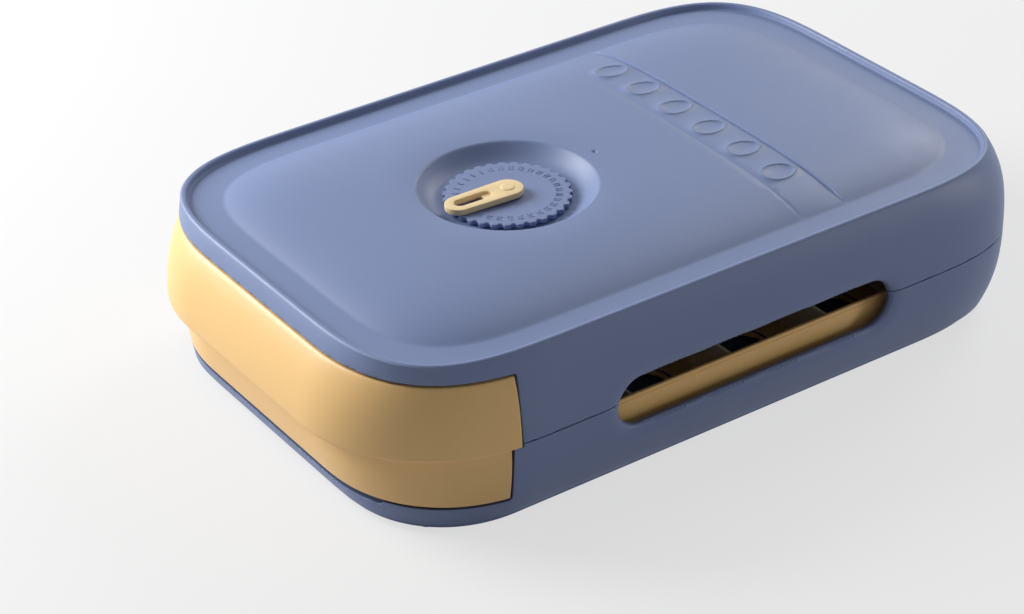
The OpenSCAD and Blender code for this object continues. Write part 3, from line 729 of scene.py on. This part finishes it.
case_fittings, lid_fittings = Shape(), Shape()
inner = KNUCKLE_L / 2 + KNUCKLE_GAP
for s in (-1, 1):
    knuckle(lid_fittings, s * HINGE_X - KNUCKLE_L / 2, s * HINGE_X + KNUCKLE_L / 2)
    for t in (-1, 1):
        middle = s * HINGE_X + t * (inner + OUTER_KNUCKLE / 2)
        knuckle(case_fittings, middle - OUTER_KNUCKLE / 2, middle + OUTER_KNUCKLE / 2)
    for y in TAB_Y:
        x0, x1 = sorted((s * TAB_ROOT_IN, s * TAB_ROOT_OUT))
        block(lid_fittings, (x0, y - TAB_HALF, TAB_ROOT), (x1, y + TAB_HALF, TAB_TOP))
    x = s * RAIL_X
    low, high = (x - RAIL_HALF_W, -RAIL_HALF_L, RAIL_LOW), (x + RAIL_HALF_W, RAIL_HALF_L, RAIL_TOP)
    block(case_fittings, low, high, 0.3)
    for y in GUIDE_Y:
        x0, x1 = sorted((s * GUIDE_IN, s * GUIDE_OUT))
        block(case_fittings, (x0, y - GUIDE_HALF, GUIDE_LOW), (x1, y + GUIDE_HALF, GUIDE_TOP))
    for y in (-FOOT_Y, FOOT_Y):
        turned(case_fittings, BOSS, (s * FOOT_X, y, 0), 36)
case_parts = case_fittings.build("case_fittings", smooth=35, bevel=0.15)
lid_parts = lid_fittings.build("lid_fittings", smooth=35, bevel=0.15)

# %% [markdown]
# The drawer front is a curved skin that wraps round both corners. Its lower half follows the
# case. Half way up it steps out into a finger lip, and from there it leans back to the rim.
# It has the same number of rows outside and inside, so it can be drawn as a regular grid.

# %% Drawer front
FRONT_T, FRONT_EDGE, FRONT_SINK, HALF_ROUND = 2.4, 0.6, 0.12, 145
LIP_OUT, LIP_END, LIP_FADE = 6.6, 0.7, 1.3
RIB_X, RIB_LOW, RIB_HIGH = (-45, -15, 15, 45), (-151.6, 13.0), (-144.0, 28.8)
ends = np.array([0, 0.05, 0.16, 0.32, 0.6, 1.0]) / HALF_ROUND
across = np.concatenate([-1 + ends, np.linspace(-0.985, 0.985, 170), (1 - ends)[::-1]])
SPAN = len(across)


def lip_share(z):
    """How far up the upper half of the front a level is, from 0 to 1."""
    return float(np.clip((z - LIP_Z) / (FRONT_TOP - LIP_Z), 0, 1))


def front_row(z, out, upper, skin=0.0):
    """One level of the drawer front, set out from the wall by the lip, then by out."""
    share = lip_share(z)
    y = FRONT_END - upper * (LIP_REACH + (TOP_REACH - LIP_REACH) * share)
    reach = u_at_y(-y, z) - 0.5
    u = 0.5 + across * reach
    normal = out_at(u, z)
    facing = np.clip(-normal[:, 1], 0, 1) ** LIP_FADE
    lip = upper * (LIP_END + (LIP_OUT - LIP_END) * facing) * (1 - share ** 2.0)
    fall = 0 if skin else rounding((1 - np.abs(across)) * reach * LENGTH, FRONT_EDGE)
    xy = wall_at(u, z) + normal * (lip - FRONT_SINK + out - skin - fall)[:, None]
    return np.column_stack([xy, np.full(SPAN, z)])


skin_out = [front_row(z, -o, 0) for z, o in ((11.6, 0.6), (11.67, 0.3), (11.85, 0.1), (12.2, 0))]
skin_out += [front_row(z, 0, 0) for z in (14, 17, 20, 23, 26, 29, 31.5, 33.3)]
skin_out += [front_row(z, o, 0) for z, o in ((34.2, 0), (34.55, 0.08), (34.72, 0.25), (34.8, 0.6))]
skin_out += [front_row(z, o, 1) for z, o in ((34.8, -0.85), (34.88, -0.42), (35.1, -0.15), (35.5, 0))]
skin_out += [front_row(z, 0, 1) for z in (36.5, 38.2, 40.5, 43.3, 46.2, 49.2, 52.2, 55.2, 58, 60.4, 62.2)]
skin_out += [front_row(z, -o, 1) for z, o in ((63.2, 0), (63.55, 0.12), (63.73, 0.3), (63.8, 0.6))]
low_z = list(np.linspace(11.6, 34.6, 16))
high_z = list(np.linspace(37.4, 63.8, 19))
skin_in = [front_row(z, 0, 0, FRONT_T) for z in low_z] + [front_row(z, 0, 1, FRONT_T) for z in high_z]
drawer_face = Shape()
rows_out = [drawer_face.add(r) for r in skin_out]
rows_in = [drawer_face.add(r) for r in skin_in]
assert len(rows_out) == len(rows_in)
for a, b in zip(rows_out, rows_out[1:]):
    drawer_face.strip(a, b, closed=False)
for a, b in zip(rows_in, rows_in[1:]):
    drawer_face.strip(a, b, closed=False, flip=True)
drawer_face.strip(rows_out[0], rows_in[0], closed=False, flip=True)
drawer_face.strip(rows_out[-1], rows_in[-1], closed=False)
for k in (0, -1):
    ends_out, ends_in = ([r[k] for r in rows] for rows in (rows_out, rows_in))
    drawer_face.strip(ends_out, ends_in, closed=False)
front_skin = drawer_face.build("drawer_front_skin", smooth=42)
front_ribs = Shape()
for x in RIB_X:
    block(front_ribs, (x - 1, *RIB_LOW), (x + 1, *RIB_HIGH), 0.15)
ribs = front_ribs.build("drawer_front_ribs", bevel=0.2)

# %% [markdown]
# The tray has a plain wall with a rounded, rolled edge, and a floor with a round seat for
# each egg. The wall is a closed profile carried round a rounded outline. The floor is a flat
# sheet with 24 bevelled holes.

# %% Tray wall and floor
TRAY_W, TRAY_L, TRAY_R, TRAY_Z, TRAY_FLOOR, TRAY_BEND = 94.5, 144.2, 44, 11.2, 13.0, 3.6
PITCH_X, PITCH_Y, SEAT_R, SEAT_UNDER_R, SEAT_BEVEL_Z = 46.25, 47.4, 9.6, 8.8, 12.2
TRAY = outline(TRAY_W, TRAY_L, (TRAY_R, 2), (TRAY_R, 2))
TRAY_COLUMNS = 480
TRAY_U = np.arange(TRAY_COLUMNS) / TRAY_COLUMNS
along = read(TRAY, TRAY_U + 0.001) - read(TRAY, TRAY_U - 0.001)
TRAY_OUT = np.column_stack([along[:, 1], -along[:, 0]]) / np.linalg.norm(along, axis=1)[:, None]


def tray_ring(inset, z):
    """The tray's outline, drawn in by the inset, at a height."""
    return np.column_stack([read(TRAY, TRAY_U) - TRAY_OUT * inset, np.full(TRAY_COLUMNS, z)])


def tray_bend(a):
    """The rounded bottom edge, from 0 under the floor to 90 degrees up the wall."""
    turn = math.radians(a)
    return TRAY_BEND - TRAY_BEND * math.sin(turn), TRAY_Z + TRAY_BEND * (1 - math.cos(turn))


tray_profile = [(0.6, TRAY_FLOOR + 0.02)] + [tray_bend(a) for a in (63, 70, 77, 84, 90)] + [
    (0, 28.3), (0.12, 28.55), (0.32, 28.7), (0.32, 28.95), (0.1, 29.15), (0, 29.4), (0, 30.1), (0.12, 30.5),
    (0.4, 30.73), (0.8, 30.8), (1.25, 30.8), (1.65, 30.7), (1.9, 30.4), (2.0, 29.9), (2.0, 14.0),
    (1.9, TRAY_FLOOR + 0.02)]
tray = Shape()
rings = [tray.add(tray_ring(*p)) for p in tray_profile]
for a, b in zip(rings, rings[1:] + rings[:1]):
    tray.strip(a, b)
tray_wall = tray.build("tray_wall", smooth=50)

seats = [(PITCH_X * (i - 1.5), PITCH_Y * (j - 2.5)) for i in range(4) for j in range(6)]
edge = [tuple(p) for p in (read(TRAY, TRAY_U) - TRAY_OUT * TRAY_BEND)[::2]]
holes = [circle(x, y, SEAT_R, 40) for x, y in seats]
spread = [c for x, y in seats for r in (11, 13.5, 17) for c in circle(x, y, r, 32)]
spread = np.array(spread)[inside(spread, [edge])]
spread = spread[gap_to(spread, [edge]) > 1.2]
flat, tris, (rim_ids, *hole_ids) = flat_sheet([edge] + holes, spread)
floor = Shape()
top = floor.add(np.column_stack([flat, np.full(len(flat), TRAY_FLOOR)]))
under = floor.add(np.column_stack([flat, np.full(len(flat), TRAY_Z)]))
floor.sheet(top, tris)
for (x, y), ids in zip(seats, hole_ids):
    narrowed = np.array([x, y]) + (flat[ids] - np.array([x, y])) * SEAT_UNDER_R / SEAT_R
    bevel_row = floor.add(np.column_stack([narrowed, np.full(len(ids), SEAT_BEVEL_Z)]))
    floor.strip(top[ids], bevel_row, flip=True)
    floor.strip(bevel_row, under[ids], flip=True)
row = top[rim_ids]
for a in (57, 48, 36, 24, 12):
    ring_row = floor.add(tray_ring(*tray_bend(a))[::2])
    floor.strip(row, ring_row, flip=True)
    row = ring_row
floor.strip(row, under[rim_ids], flip=True)
floor.sheet(under, tris, flip=True)
tray_floor = floor.build("tray_floor", smooth=30, bevel=0.12)

# %% [markdown]
# Twenty-four seats get the same soft rim, so one rim is made once and set out by Geometry
# Nodes: a grid of points, a rim on each, joined into one mesh. The sizes are named inputs.

# %% Egg seat rims by Geometry Nodes
def new_tree(name, sizes):
    """A node tree with a named input for each size."""
    tree = bpy.data.node_groups.new(name, "GeometryNodeTree")
    tree.interface.new_socket("Geometry", in_out="INPUT", socket_type="NodeSocketGeometry")
    for label, kind, _ in sizes:
        tree.interface.new_socket(label, in_out="INPUT", socket_type=kind)
    tree.interface.new_socket("Geometry", in_out="OUTPUT", socket_type="NodeSocketGeometry")
    return tree, tree.nodes.new("NodeGroupInput"), tree.nodes.new("NodeGroupOutput")


def grown(name, tree, sizes):
    """Runs a node tree on an empty mesh and keeps what it makes as a plain mesh."""
    piece = bpy.data.objects.new(name, bpy.data.meshes.new(name))
    bpy.context.scene.collection.objects.link(piece)
    mod = piece.modifiers.new("nodes", "NODES")
    mod.node_group = tree
    sockets = {i.name: i.identifier for i in tree.interface.items_tree if i.in_out == "INPUT"}
    for label, _, value in sizes:
        mod[sockets[label]] = value
    baked(piece)
    bm = bmesh.new()
    bm.from_mesh(piece.data)
    bmesh.ops.recalc_face_normals(bm, faces=bm.faces)
    bm.to_mesh(piece.data)
    bm.free()
    for p in piece.data.polygons:
        p.use_smooth = True
    print(piece.name, len(piece.data.polygons), "faces from nodes")
    return piece


yellow = bpy.data.materials.new("drawer_yellow_plastic")
FLOAT, WHOLE = "NodeSocketFloat", "NodeSocketInt"
seat_sizes = [("Pitch across", FLOAT, PITCH_X * MM), ("Pitch along", FLOAT, PITCH_Y * MM),
              ("Columns", WHOLE, 4), ("Rows", WHOLE, 6), ("Rim radius", FLOAT, 11.2 * MM),
              ("Rim thickness", FLOAT, 0.45 * MM), ("Height", FLOAT, 13.05 * MM)]
tree, given, made = new_tree("egg_seat_rims", seat_sizes)
make, join = tree.nodes.new, tree.links.new


def row_length(pitch, count):
    """The length of a row of seats: its pitch times one less than its count."""
    less, times = make("ShaderNodeMath"), make("ShaderNodeMath")
    less.operation, times.operation = "SUBTRACT", "MULTIPLY"
    less.inputs[1].default_value = 1
    join(given.outputs[count], less.inputs[0])
    join(given.outputs[pitch], times.inputs[0])
    join(less.outputs[0], times.inputs[1])
    return times.outputs[0]


grid = make("GeometryNodeMeshGrid")
join(row_length("Pitch across", "Columns"), grid.inputs["Size X"])
join(row_length("Pitch along", "Rows"), grid.inputs["Size Y"])
join(given.outputs["Columns"], grid.inputs["Vertices X"])
join(given.outputs["Rows"], grid.inputs["Vertices Y"])
ring, wire = make("GeometryNodeCurvePrimitiveCircle"), make("GeometryNodeCurvePrimitiveCircle")
ring.inputs["Resolution"].default_value, wire.inputs["Resolution"].default_value = 48, 10
join(given.outputs["Rim radius"], ring.inputs["Radius"])
join(given.outputs["Rim thickness"], wire.inputs["Radius"])
tube = make("GeometryNodeCurveToMesh")
join(ring.outputs["Curve"], tube.inputs["Curve"])
join(wire.outputs["Curve"], tube.inputs["Profile Curve"])
spread_out, solid = make("GeometryNodeInstanceOnPoints"), make("GeometryNodeRealizeInstances")
lift, height = make("GeometryNodeTransform"), make("ShaderNodeCombineXYZ")
paint = make("GeometryNodeSetMaterial")
paint.inputs["Material"].default_value = yellow
join(given.outputs["Height"], height.inputs["Z"])
join(height.outputs[0], lift.inputs["Translation"])
join(grid.outputs["Mesh"], spread_out.inputs["Points"])
join(tube.outputs["Mesh"], spread_out.inputs["Instance"])
join(spread_out.outputs[0], lift.inputs["Geometry"])
join(lift.outputs[0], solid.inputs["Geometry"])
join(solid.outputs[0], paint.inputs["Geometry"])
join(paint.outputs[0], made.inputs[0])
seat_rims = grown("egg_seat_rims", tree, seat_sizes)

# %% [markdown]
# The dial is a thick disc with 31 rounded lobes, one for each day, so it can be gripped by
# its edge. The lobes come from one formula for the radius, with narrow notches between
# them. The middle is slightly hollow, and the day numbers stand on the flat band round it.

# %% Dial
DIAL_R, DIAL_TOP, DIAL_UNDER, DAYS, STEM_R, STEM_END = 25.6, 72.1, 70.0, 31, 6.0, 65.2
LOBE, LOBE_STEEP, LOBE_WIDE, PIN_BORE = 1.25, 2.2, 0.5, 2.26
TURNS = DAYS * 20
theta = np.arange(TURNS) * 2 * np.pi / TURNS


def lobed(out):
    """The dial's edge, moved out, with round lobes and narrow notches between them."""
    wave = np.tanh(LOBE_STEEP * np.cos(DAYS * theta) + LOBE_WIDE)
    return DIAL_R - LOBE + LOBE * (wave + 0.94) / 1.93 + out


def dial_ring(radius, z):
    """One ring of the dial, round or lobed."""
    r = np.broadcast_to(radius, theta.shape)
    return np.column_stack([r * np.cos(theta), r * np.sin(theta) + DISH_Y, np.full(TURNS, z)])


dial = Shape()
bore_and_hollow = [(PIN_BORE, STEM_END), (PIN_BORE, 71.4), (2.6, 71.62), (5, 71.62), (8, 71.66), (11, 71.75),
                   (14, 71.87), (16.5, 71.97), (18.5, 72.04), (20.5, 72.08), (22.3, DIAL_TOP)]
grip = [(lobed(-0.9), DIAL_TOP - 0.01), (lobed(-0.5), DIAL_TOP - 0.03), (lobed(-0.22), DIAL_TOP - 0.12),
        (lobed(-0.06), DIAL_TOP - 0.32), (lobed(0), DIAL_TOP - 0.6), (lobed(0), DIAL_UNDER + 0.5),
        (lobed(-0.15), DIAL_UNDER + 0.15), (lobed(-0.5), DIAL_UNDER)]
under_and_stem = [(20, DIAL_UNDER), (12, DIAL_UNDER), (STEM_R, DIAL_UNDER), (STEM_R, 68),
                  (STEM_R, STEM_END + 0.4), (STEM_R - 0.4, STEM_END)]
dial_rows = bore_and_hollow + grip + under_and_stem
rings = [dial.add(dial_ring(*row)) for row in dial_rows]
for a, b in zip(rings, rings[1:] + rings[:1]):
    dial.strip(a, b)
dial_disc = dial.build("dial_disc", smooth=34)

# %% Day numbers
NUMBER_R, NUMBER_H, NUMBER_RISE, NUMBER_NARROW, HALF_DEPTH, SINK = 20.4, 2.9, 0.17, 0.62, 0.2, 0.22
CAP_SHARE = 0.7


def number(day):
    """One day number as a thin raised mesh, set round the dial and read from outside."""
    words = bpy.data.curves.new("day", "FONT")
    words.body, words.size, words.resolution_u = str(day), NUMBER_H * MM / CAP_SHARE, 3
    words.align_x, words.align_y, words.extrude = "CENTER", "CENTER", HALF_DEPTH * MM
    shown = bpy.data.objects.new("day", words)
    bpy.context.scene.collection.objects.link(shown)
    bpy.context.view_layer.update()
    mesh = bpy.data.meshes.new_from_object(shown.evaluated_get(bpy.context.evaluated_depsgraph_get()))
    bpy.data.objects.remove(shown)
    angle = math.radians(-90 - (day - 1) * 360 / DAYS)
    co = np.array([v.co for v in mesh.vertices])
    co[:, 0] *= NUMBER_NARROW
    x, y, z = co.T
    out = np.array([math.cos(angle), math.sin(angle)])
    aside = np.array([-math.sin(angle), math.cos(angle)])
    xy = out * NUMBER_R * MM + y[:, None] * -out + x[:, None] * -aside
    z = z + (DIAL_TOP + NUMBER_RISE - SINK) * MM
    place = np.column_stack([xy[:, 0], xy[:, 1] + DISH_Y * MM, z])
    faces = [tuple(p.vertices) for p in mesh.polygons]
    return place / MM, faces


numbers = Shape()
for day in range(1, DAYS + 1):
    place, faces = number(day)
    ids = numbers.add(place)
    numbers.faces += [tuple(int(ids[i]) for i in f) for f in faces]
day_numbers = numbers.build("day_numbers", smooth=30, merge=0.0005)

# %% [markdown]
# The pointer is a flat bar with round ends and a long slot, so the day under it can be read.
# A lower step fills the inner end of the slot. The low round head of the pin shows beside it.

# %% Pointer
POINTER_TURN, POINTER_Z, POINTER_T, POINTER_L = -2, 72.3, 2.4, 28.0
INNER_R, OUTER_R, SLOT_R, SLOT_IN, STEP_IN, STEP_Z = 6.3, 5.7, 2.65, 11.2, 7.4, 1.1
SLOT_SHIFT, SLOT_DRAFT, HOLE_CORNER = 0.7, 0.12, 0.8


def arc(x, y, r, a, b, n=9):
    """Points on part of a circle, from angle a to b in degrees."""
    turn = np.radians(np.linspace(a, b, n))
    return [(x + r * math.cos(t), y + r * math.sin(t)) for t in turn]


def stadium(x0, x1, r0, r1, n=25):
    """A bar's outline with round ends, wider at one end than at the other."""
    lean = math.degrees(math.asin((r0 - r1) / (x1 - x0)))
    return arc(x1, 0, r1, lean - 90, 90 - lean, n) + arc(x0, 0, r0, 90 - lean, 270 + lean, n)


bar = stadium(0, POINTER_L - OUTER_R, INNER_R, OUTER_R)
slot_out = POINTER_L - OUTER_R - SLOT_SHIFT
hole_r, corner_x = SLOT_R - SLOT_DRAFT, SLOT_IN + HOLE_CORNER
slot = stadium(STEP_IN + SLOT_R, slot_out, SLOT_R, SLOT_R, 13)
hole = arc(slot_out, 0, hole_r, -90, 90, 13)
hole += arc(corner_x, hole_r - HOLE_CORNER, HOLE_CORNER, 90, 180, 4)
hole += arc(corner_x, HOLE_CORNER - hole_r, HOLE_CORNER, 180, 270, 4)
bore = circle(0, 0, PIN_BORE, 40)
ring_points = circle(0, 0, 2.7, 40) + circle(0, 0, 3.6, 40)


def on_dial(flat, z):
    """Turns flat pointer points to the pointer's angle and sets them over the dial."""
    a = math.radians(-90 + POINTER_TURN)
    x, y = flat[:, 0], flat[:, 1]
    return np.column_stack([x * math.cos(a) - y * math.sin(a), x * math.sin(a) + y * math.cos(a) + DISH_Y,
                            np.full(len(flat), z) if np.isscalar(z) else z])


pointer = Shape()
mid_z = POINTER_Z + POINTER_T - STEP_Z
flat, tris, (bar_ids, slot_ids, bore_ids) = flat_sheet([bar, slot, bore], ring_points)
top = pointer.add(on_dial(flat, POINTER_Z + POINTER_T))
pointer.sheet(top, tris)
flat, tris, (step_ids, hole_ids) = flat_sheet([slot, hole])
step = pointer.add(on_dial(flat, mid_z))
pointer.sheet(step, tris)
flat, tris, (low_bar, low_hole, low_bore) = flat_sheet([bar, hole, bore])
under = pointer.add(on_dial(flat, POINTER_Z))
pointer.sheet(under, tris, flip=True)
for upper_row, lower_row in ((top[bar_ids], under[low_bar]), (top[bore_ids], under[low_bore]),
                             (top[slot_ids], step[step_ids]), (step[hole_ids], under[low_hole])):
    pointer.strip(upper_row, lower_row)
pointer_bar = pointer.build("pointer_bar", smooth=40, bevel=0.5, segments=3)
pin, head_z = Shape(), POINTER_Z + POINTER_T
pin_foot = [(0, 64.0), (3.3, 64.0), (3.6, 64.2), (3.6, 64.8), (3.4, 65.0), (2.2, 65.0)]
pin_head = [(2.2, -0.02), (2.8, 0), (2.8, 0.1), (2.66, 0.24), (2.3, 0.32), (1.4, 0.34), (0.6, 0.3), (0, 0.28)]
turned(pin, pin_foot + [(r, head_z + z) for r, z in pin_head], (0, DISH_Y, 0), 48)
pointer_pin = pin.build("pointer_pin_turned", smooth=40)

# %% [markdown]
# Every plastic here is moulded, so it has the same make-up: a colour that drifts very
# slightly over the part, a fine eroded texture that breaks up the highlights, and a
# roughness that varies a little. Only the numbers differ from one plastic to the next.

# %% Plastics
def as_light(r, g, b):
    """A colour given as the eye sees it, 0 to 255, turned into light."""
    return tuple(((v / 255 + 0.055) / 1.055) ** 2.4 for v in (r, g, b)) + (1,)


DRIFT, SPECK, BLEND, SCUFF_SCALE, WAVE, WAVE_DEPTH, IOR = 11, 900, 0.35, 45, 34, 0.012, 1.46


def moulded(name, light, dark, rough, grain, depth, scuff=0.03):
    """A plastic of two nearly equal colours, with its roughness and its grain's scale and depth."""
    mat = bpy.data.materials.get(name) or bpy.data.materials.new(name)
    mat.use_nodes = True
    parts, links = mat.node_tree.nodes, mat.node_tree.links
    skin, where = parts["Principled BSDF"], parts.new("ShaderNodeTexCoord")

    def noise(scale, detail, roughness=0.5):
        n = parts.new("ShaderNodeTexNoise")
        n.inputs["Scale"].default_value, n.inputs["Detail"].default_value = scale, detail
        n.inputs["Roughness"].default_value = roughness
        links.new(where.outputs["Object"], n.inputs["Vector"])
        return n.outputs["Fac"]

    def mapped(value, low, high, start=0.35, stop=0.65):
        m = parts.new("ShaderNodeMapRange")
        for label, v in (("From Min", start), ("From Max", stop), ("To Min", low), ("To Max", high)):
            m.inputs[label].default_value = v
        links.new(value, m.inputs["Value"])
        return m.outputs["Result"]

    def bump(height, distance):
        b = parts.new("ShaderNodeBump")
        b.inputs["Strength"].default_value, b.inputs["Distance"].default_value = 1, distance * MM
        links.new(height, b.inputs["Height"])
        return b

    colour, blend = parts.new("ShaderNodeMix"), parts.new("ShaderNodeMix")
    colour.data_type = "RGBA"
    colour.inputs[6].default_value, colour.inputs[7].default_value = as_light(*dark), as_light(*light)
    blend.inputs[0].default_value = BLEND
    links.new(mapped(noise(DRIFT, 3), 0, 1), blend.inputs[2])
    links.new(mapped(noise(SPECK, 2), 0, 1, 0.3, 0.7), blend.inputs[3])
    links.new(blend.outputs[0], colour.inputs[0])
    links.new(colour.outputs[2], skin.inputs["Base Color"])
    links.new(mapped(noise(SCUFF_SCALE, 4, 0.6), rough - scuff, rough + scuff), skin.inputs["Roughness"])
    large, small = bump(noise(WAVE, 2), WAVE_DEPTH), bump(noise(grain, 3, 0.6), depth)
    links.new(large.outputs["Normal"], small.inputs["Normal"])
    links.new(small.outputs["Normal"], skin.inputs["Normal"])
    skin.inputs["IOR"].default_value = IOR
    return mat


blue = moulded("case_blue_plastic", (112, 127, 164), (109, 124, 161), 0.48, 2600, 0.012)
yellow = moulded("drawer_yellow_plastic", (231, 189, 125), (228, 186, 121), 0.4, 2200, 0.008)
# The tray wall is a lighter yellow than the drawer front: painted light, so that the wall seen through the
# side windows reads as lit.
tray_yellow_painted_light = moulded("tray_yellow_painted_light_plastic", (240, 194, 124), (237, 191, 120), 0.42, 2200, 0.008)
# The inner faces of the shells get a darker blue than the outside: painted shade for the inside of the case,
# seen through the windows and under the open lid. The higher roughness is the inside's own matte finish.
inside = moulded("case_inside_painted_shade_plastic", (80, 91, 120), (76, 87, 116), 0.66, 1800, 0.02)
cream = moulded("pointer_cream_plastic", (231, 206, 159), (227, 201, 153), 0.4, 2400, 0.008)
ivory = moulded("divider_ivory_plastic", (238, 226, 196), (233, 220, 188), 0.46, 2400, 0.010)
dial_blue = moulded("dial_blue_plastic", (115, 129, 167), (112, 126, 164), 0.48, 2600, 0.014)
rubber = moulded("foot_rubber", (62, 64, 72), (52, 54, 61), 0.82, 1600, 0.03, 0.06)
steel = moulded("pin_steel", (200, 202, 206), (178, 180, 186), 0.3, 1800, 0.006, 0.1)
steel.node_tree.nodes["Principled BSDF"].inputs["Metallic"].default_value = 1.0
print("plastics:", [m.name for m in bpy.data.materials][:8])

# %% [markdown]
# Each finished piece rides on the body that carries it, and takes the place of the packed
# solid it stands for. The strips, pins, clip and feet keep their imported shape.

# %% Bodies, slots and finishes
LOOK = [
    (lid_shell, "lid", blue, "case_blue", ["upper_shell"]),
    (lid_parts, "lid", blue, "case_blue", ["upper_shell"]),
    (case_shell, "base", blue, "case_blue", ["lower_shell"]),
    (case_parts, "base", blue, "case_blue", ["lower_shell"]),
    (front_skin, "drawer", yellow, "drawer_yellow", ["drawer_front"]),
    (ribs, "drawer", yellow, "drawer_yellow", ["drawer_front"]),
    (tray_wall, "drawer", tray_yellow_painted_light, "drawer_yellow", ["drawer_tray"]),
    (tray_floor, "drawer", yellow, "drawer_yellow", ["drawer_floor"]),
    (seat_rims, "drawer", yellow, "drawer_yellow", ["drawer_floor"]),
    (dial_disc, "dial", dial_blue, "dial_blue", ["date_dial"]),
    (day_numbers, "dial", dial_blue, "dial_blue", ["date_dial"]),
    (pointer_bar, "pointer", cream, "pointer_cream", ["date_pointer"]),
    (pointer_pin, "pointer", cream, "pointer_cream", ["pointer_pin"]),
]
for piece, body, finish, slot_name, stands_for in LOOK:
    if len(piece.data.materials) == 2:
        piece.data.materials[0], piece.data.materials[1] = finish, inside
    else:
        piece.data.materials.clear()
        piece.data.materials.append(finish)
    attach(piece, body)
    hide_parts(*stands_for)
KEPT = {"divider": ivory, "hinge_pin": steel, "dial_clip": steel, "foot": rubber}
for name, node in nodes.items():
    for start, finish in KEPT.items():
        if name.startswith(start):
            for place in node.material_slots:
                place.material = finish
print(len(LOOK), "pieces dressed")

# %% [markdown]
# The keeper stands on a pale sheet. A soft key lamp to the left of the drawer lights the
# yellow front and the lid, one behind brings up the far end and the edge of the dish, and a
# weak low one on the right opens up the side wall. The camera sees plain white around it.

# %% Floor, lamps and background
def seen_white(tree, shader, white, share=1.0):
    """Mixes a shader with plain white for the camera, glossy and transmission rays."""
    links = tree.links
    path, mix = tree.nodes.new("ShaderNodeLightPath"), tree.nodes.new("ShaderNodeMixShader")
    first, second, part = (tree.nodes.new("ShaderNodeMath") for _ in range(3))
    first.operation, second.operation, part.operation = "MAXIMUM", "MAXIMUM", "MULTIPLY"
    part.inputs[1].default_value = share
    links.new(path.outputs["Is Camera Ray"], first.inputs[0])
    links.new(path.outputs["Is Glossy Ray"], first.inputs[1])
    links.new(first.outputs[0], second.inputs[0])
    links.new(path.outputs["Is Transmission Ray"], second.inputs[1])
    links.new(second.outputs[0], part.inputs[0])
    links.new(part.outputs[0], mix.inputs[0])
    links.new(shader, mix.inputs[1])
    links.new(white, mix.inputs[2])
    return mix.outputs[0]


world = bpy.data.worlds.new("studio")
bpy.context.scene.world = world
world.use_nodes = True
sky = world.node_tree
soft, white = sky.nodes["Background"], sky.nodes.new("ShaderNodeBackground")
soft.inputs["Color"].default_value, soft.inputs["Strength"].default_value = (0.92, 0.95, 1, 1), 0.17
white.inputs["Color"].default_value, white.inputs["Strength"].default_value = (1, 1, 1, 1), 1.0
backdrop = seen_white(sky, soft.outputs[0], white.outputs[0])
sky.links.new(backdrop, sky.nodes["World Output"].inputs["Surface"])

HALF_FLOOR = 4
sheet = bpy.data.meshes.new("floor")
sheet.from_pydata([(x * HALF_FLOOR, y * HALF_FLOOR, 0) for x, y in ((-1, -1), (1, -1), (1, 1), (-1, 1))],
                  [], [(0, 1, 2, 3)])
ground = bpy.data.objects.new("floor", sheet)
bpy.context.scene.collection.objects.link(ground)
paper = bpy.data.materials.new("floor_paper")
paper.use_nodes = True
PAPER_WHITE = 0.66
paper_tree = paper.node_tree
paper_skin = paper_tree.nodes["Principled BSDF"]
paper_skin.inputs["Base Color"].default_value = (0.6, 0.6, 0.6, 1)
paper_skin.inputs["Roughness"].default_value = 0.9
glow = paper_tree.nodes.new("ShaderNodeEmission")
glow.inputs["Color"].default_value, glow.inputs["Strength"].default_value = (1, 1, 1, 1), 1.0
seen_paper = seen_white(paper_tree, paper_skin.outputs[0], glow.outputs[0], PAPER_WHITE)
paper_tree.links.new(seen_paper, paper_tree.nodes["Material Output"].inputs["Surface"])
sheet.materials.append(paper)


def lamp(name, place, aim, size, watts):
    """A round soft lamp that looks at a point of the case."""
    data = bpy.data.lights.new(name, "AREA")
    data.shape, data.size, data.energy = "DISK", size, watts
    lit = bpy.data.objects.new(name, data)
    lit.location = place
    lit.rotation_euler = (Vector(aim) - Vector(place)).to_track_quat("-Z", "Y").to_euler()
    bpy.context.scene.collection.objects.link(lit)


lamp("key", (-0.74, -0.57, 0.52), (0, 0, 0.05), 0.65, 16.5)
lamp("back", (-0.5, 1.3, 0.9), (0, 0, 0.05), 0.8, 10)
lamp("side", (0.75, 0.9, 0.17), (0.1, 0.05, 0.04), 0.3, 2.2)
bpy.context.scene.view_settings.view_transform = "Standard"
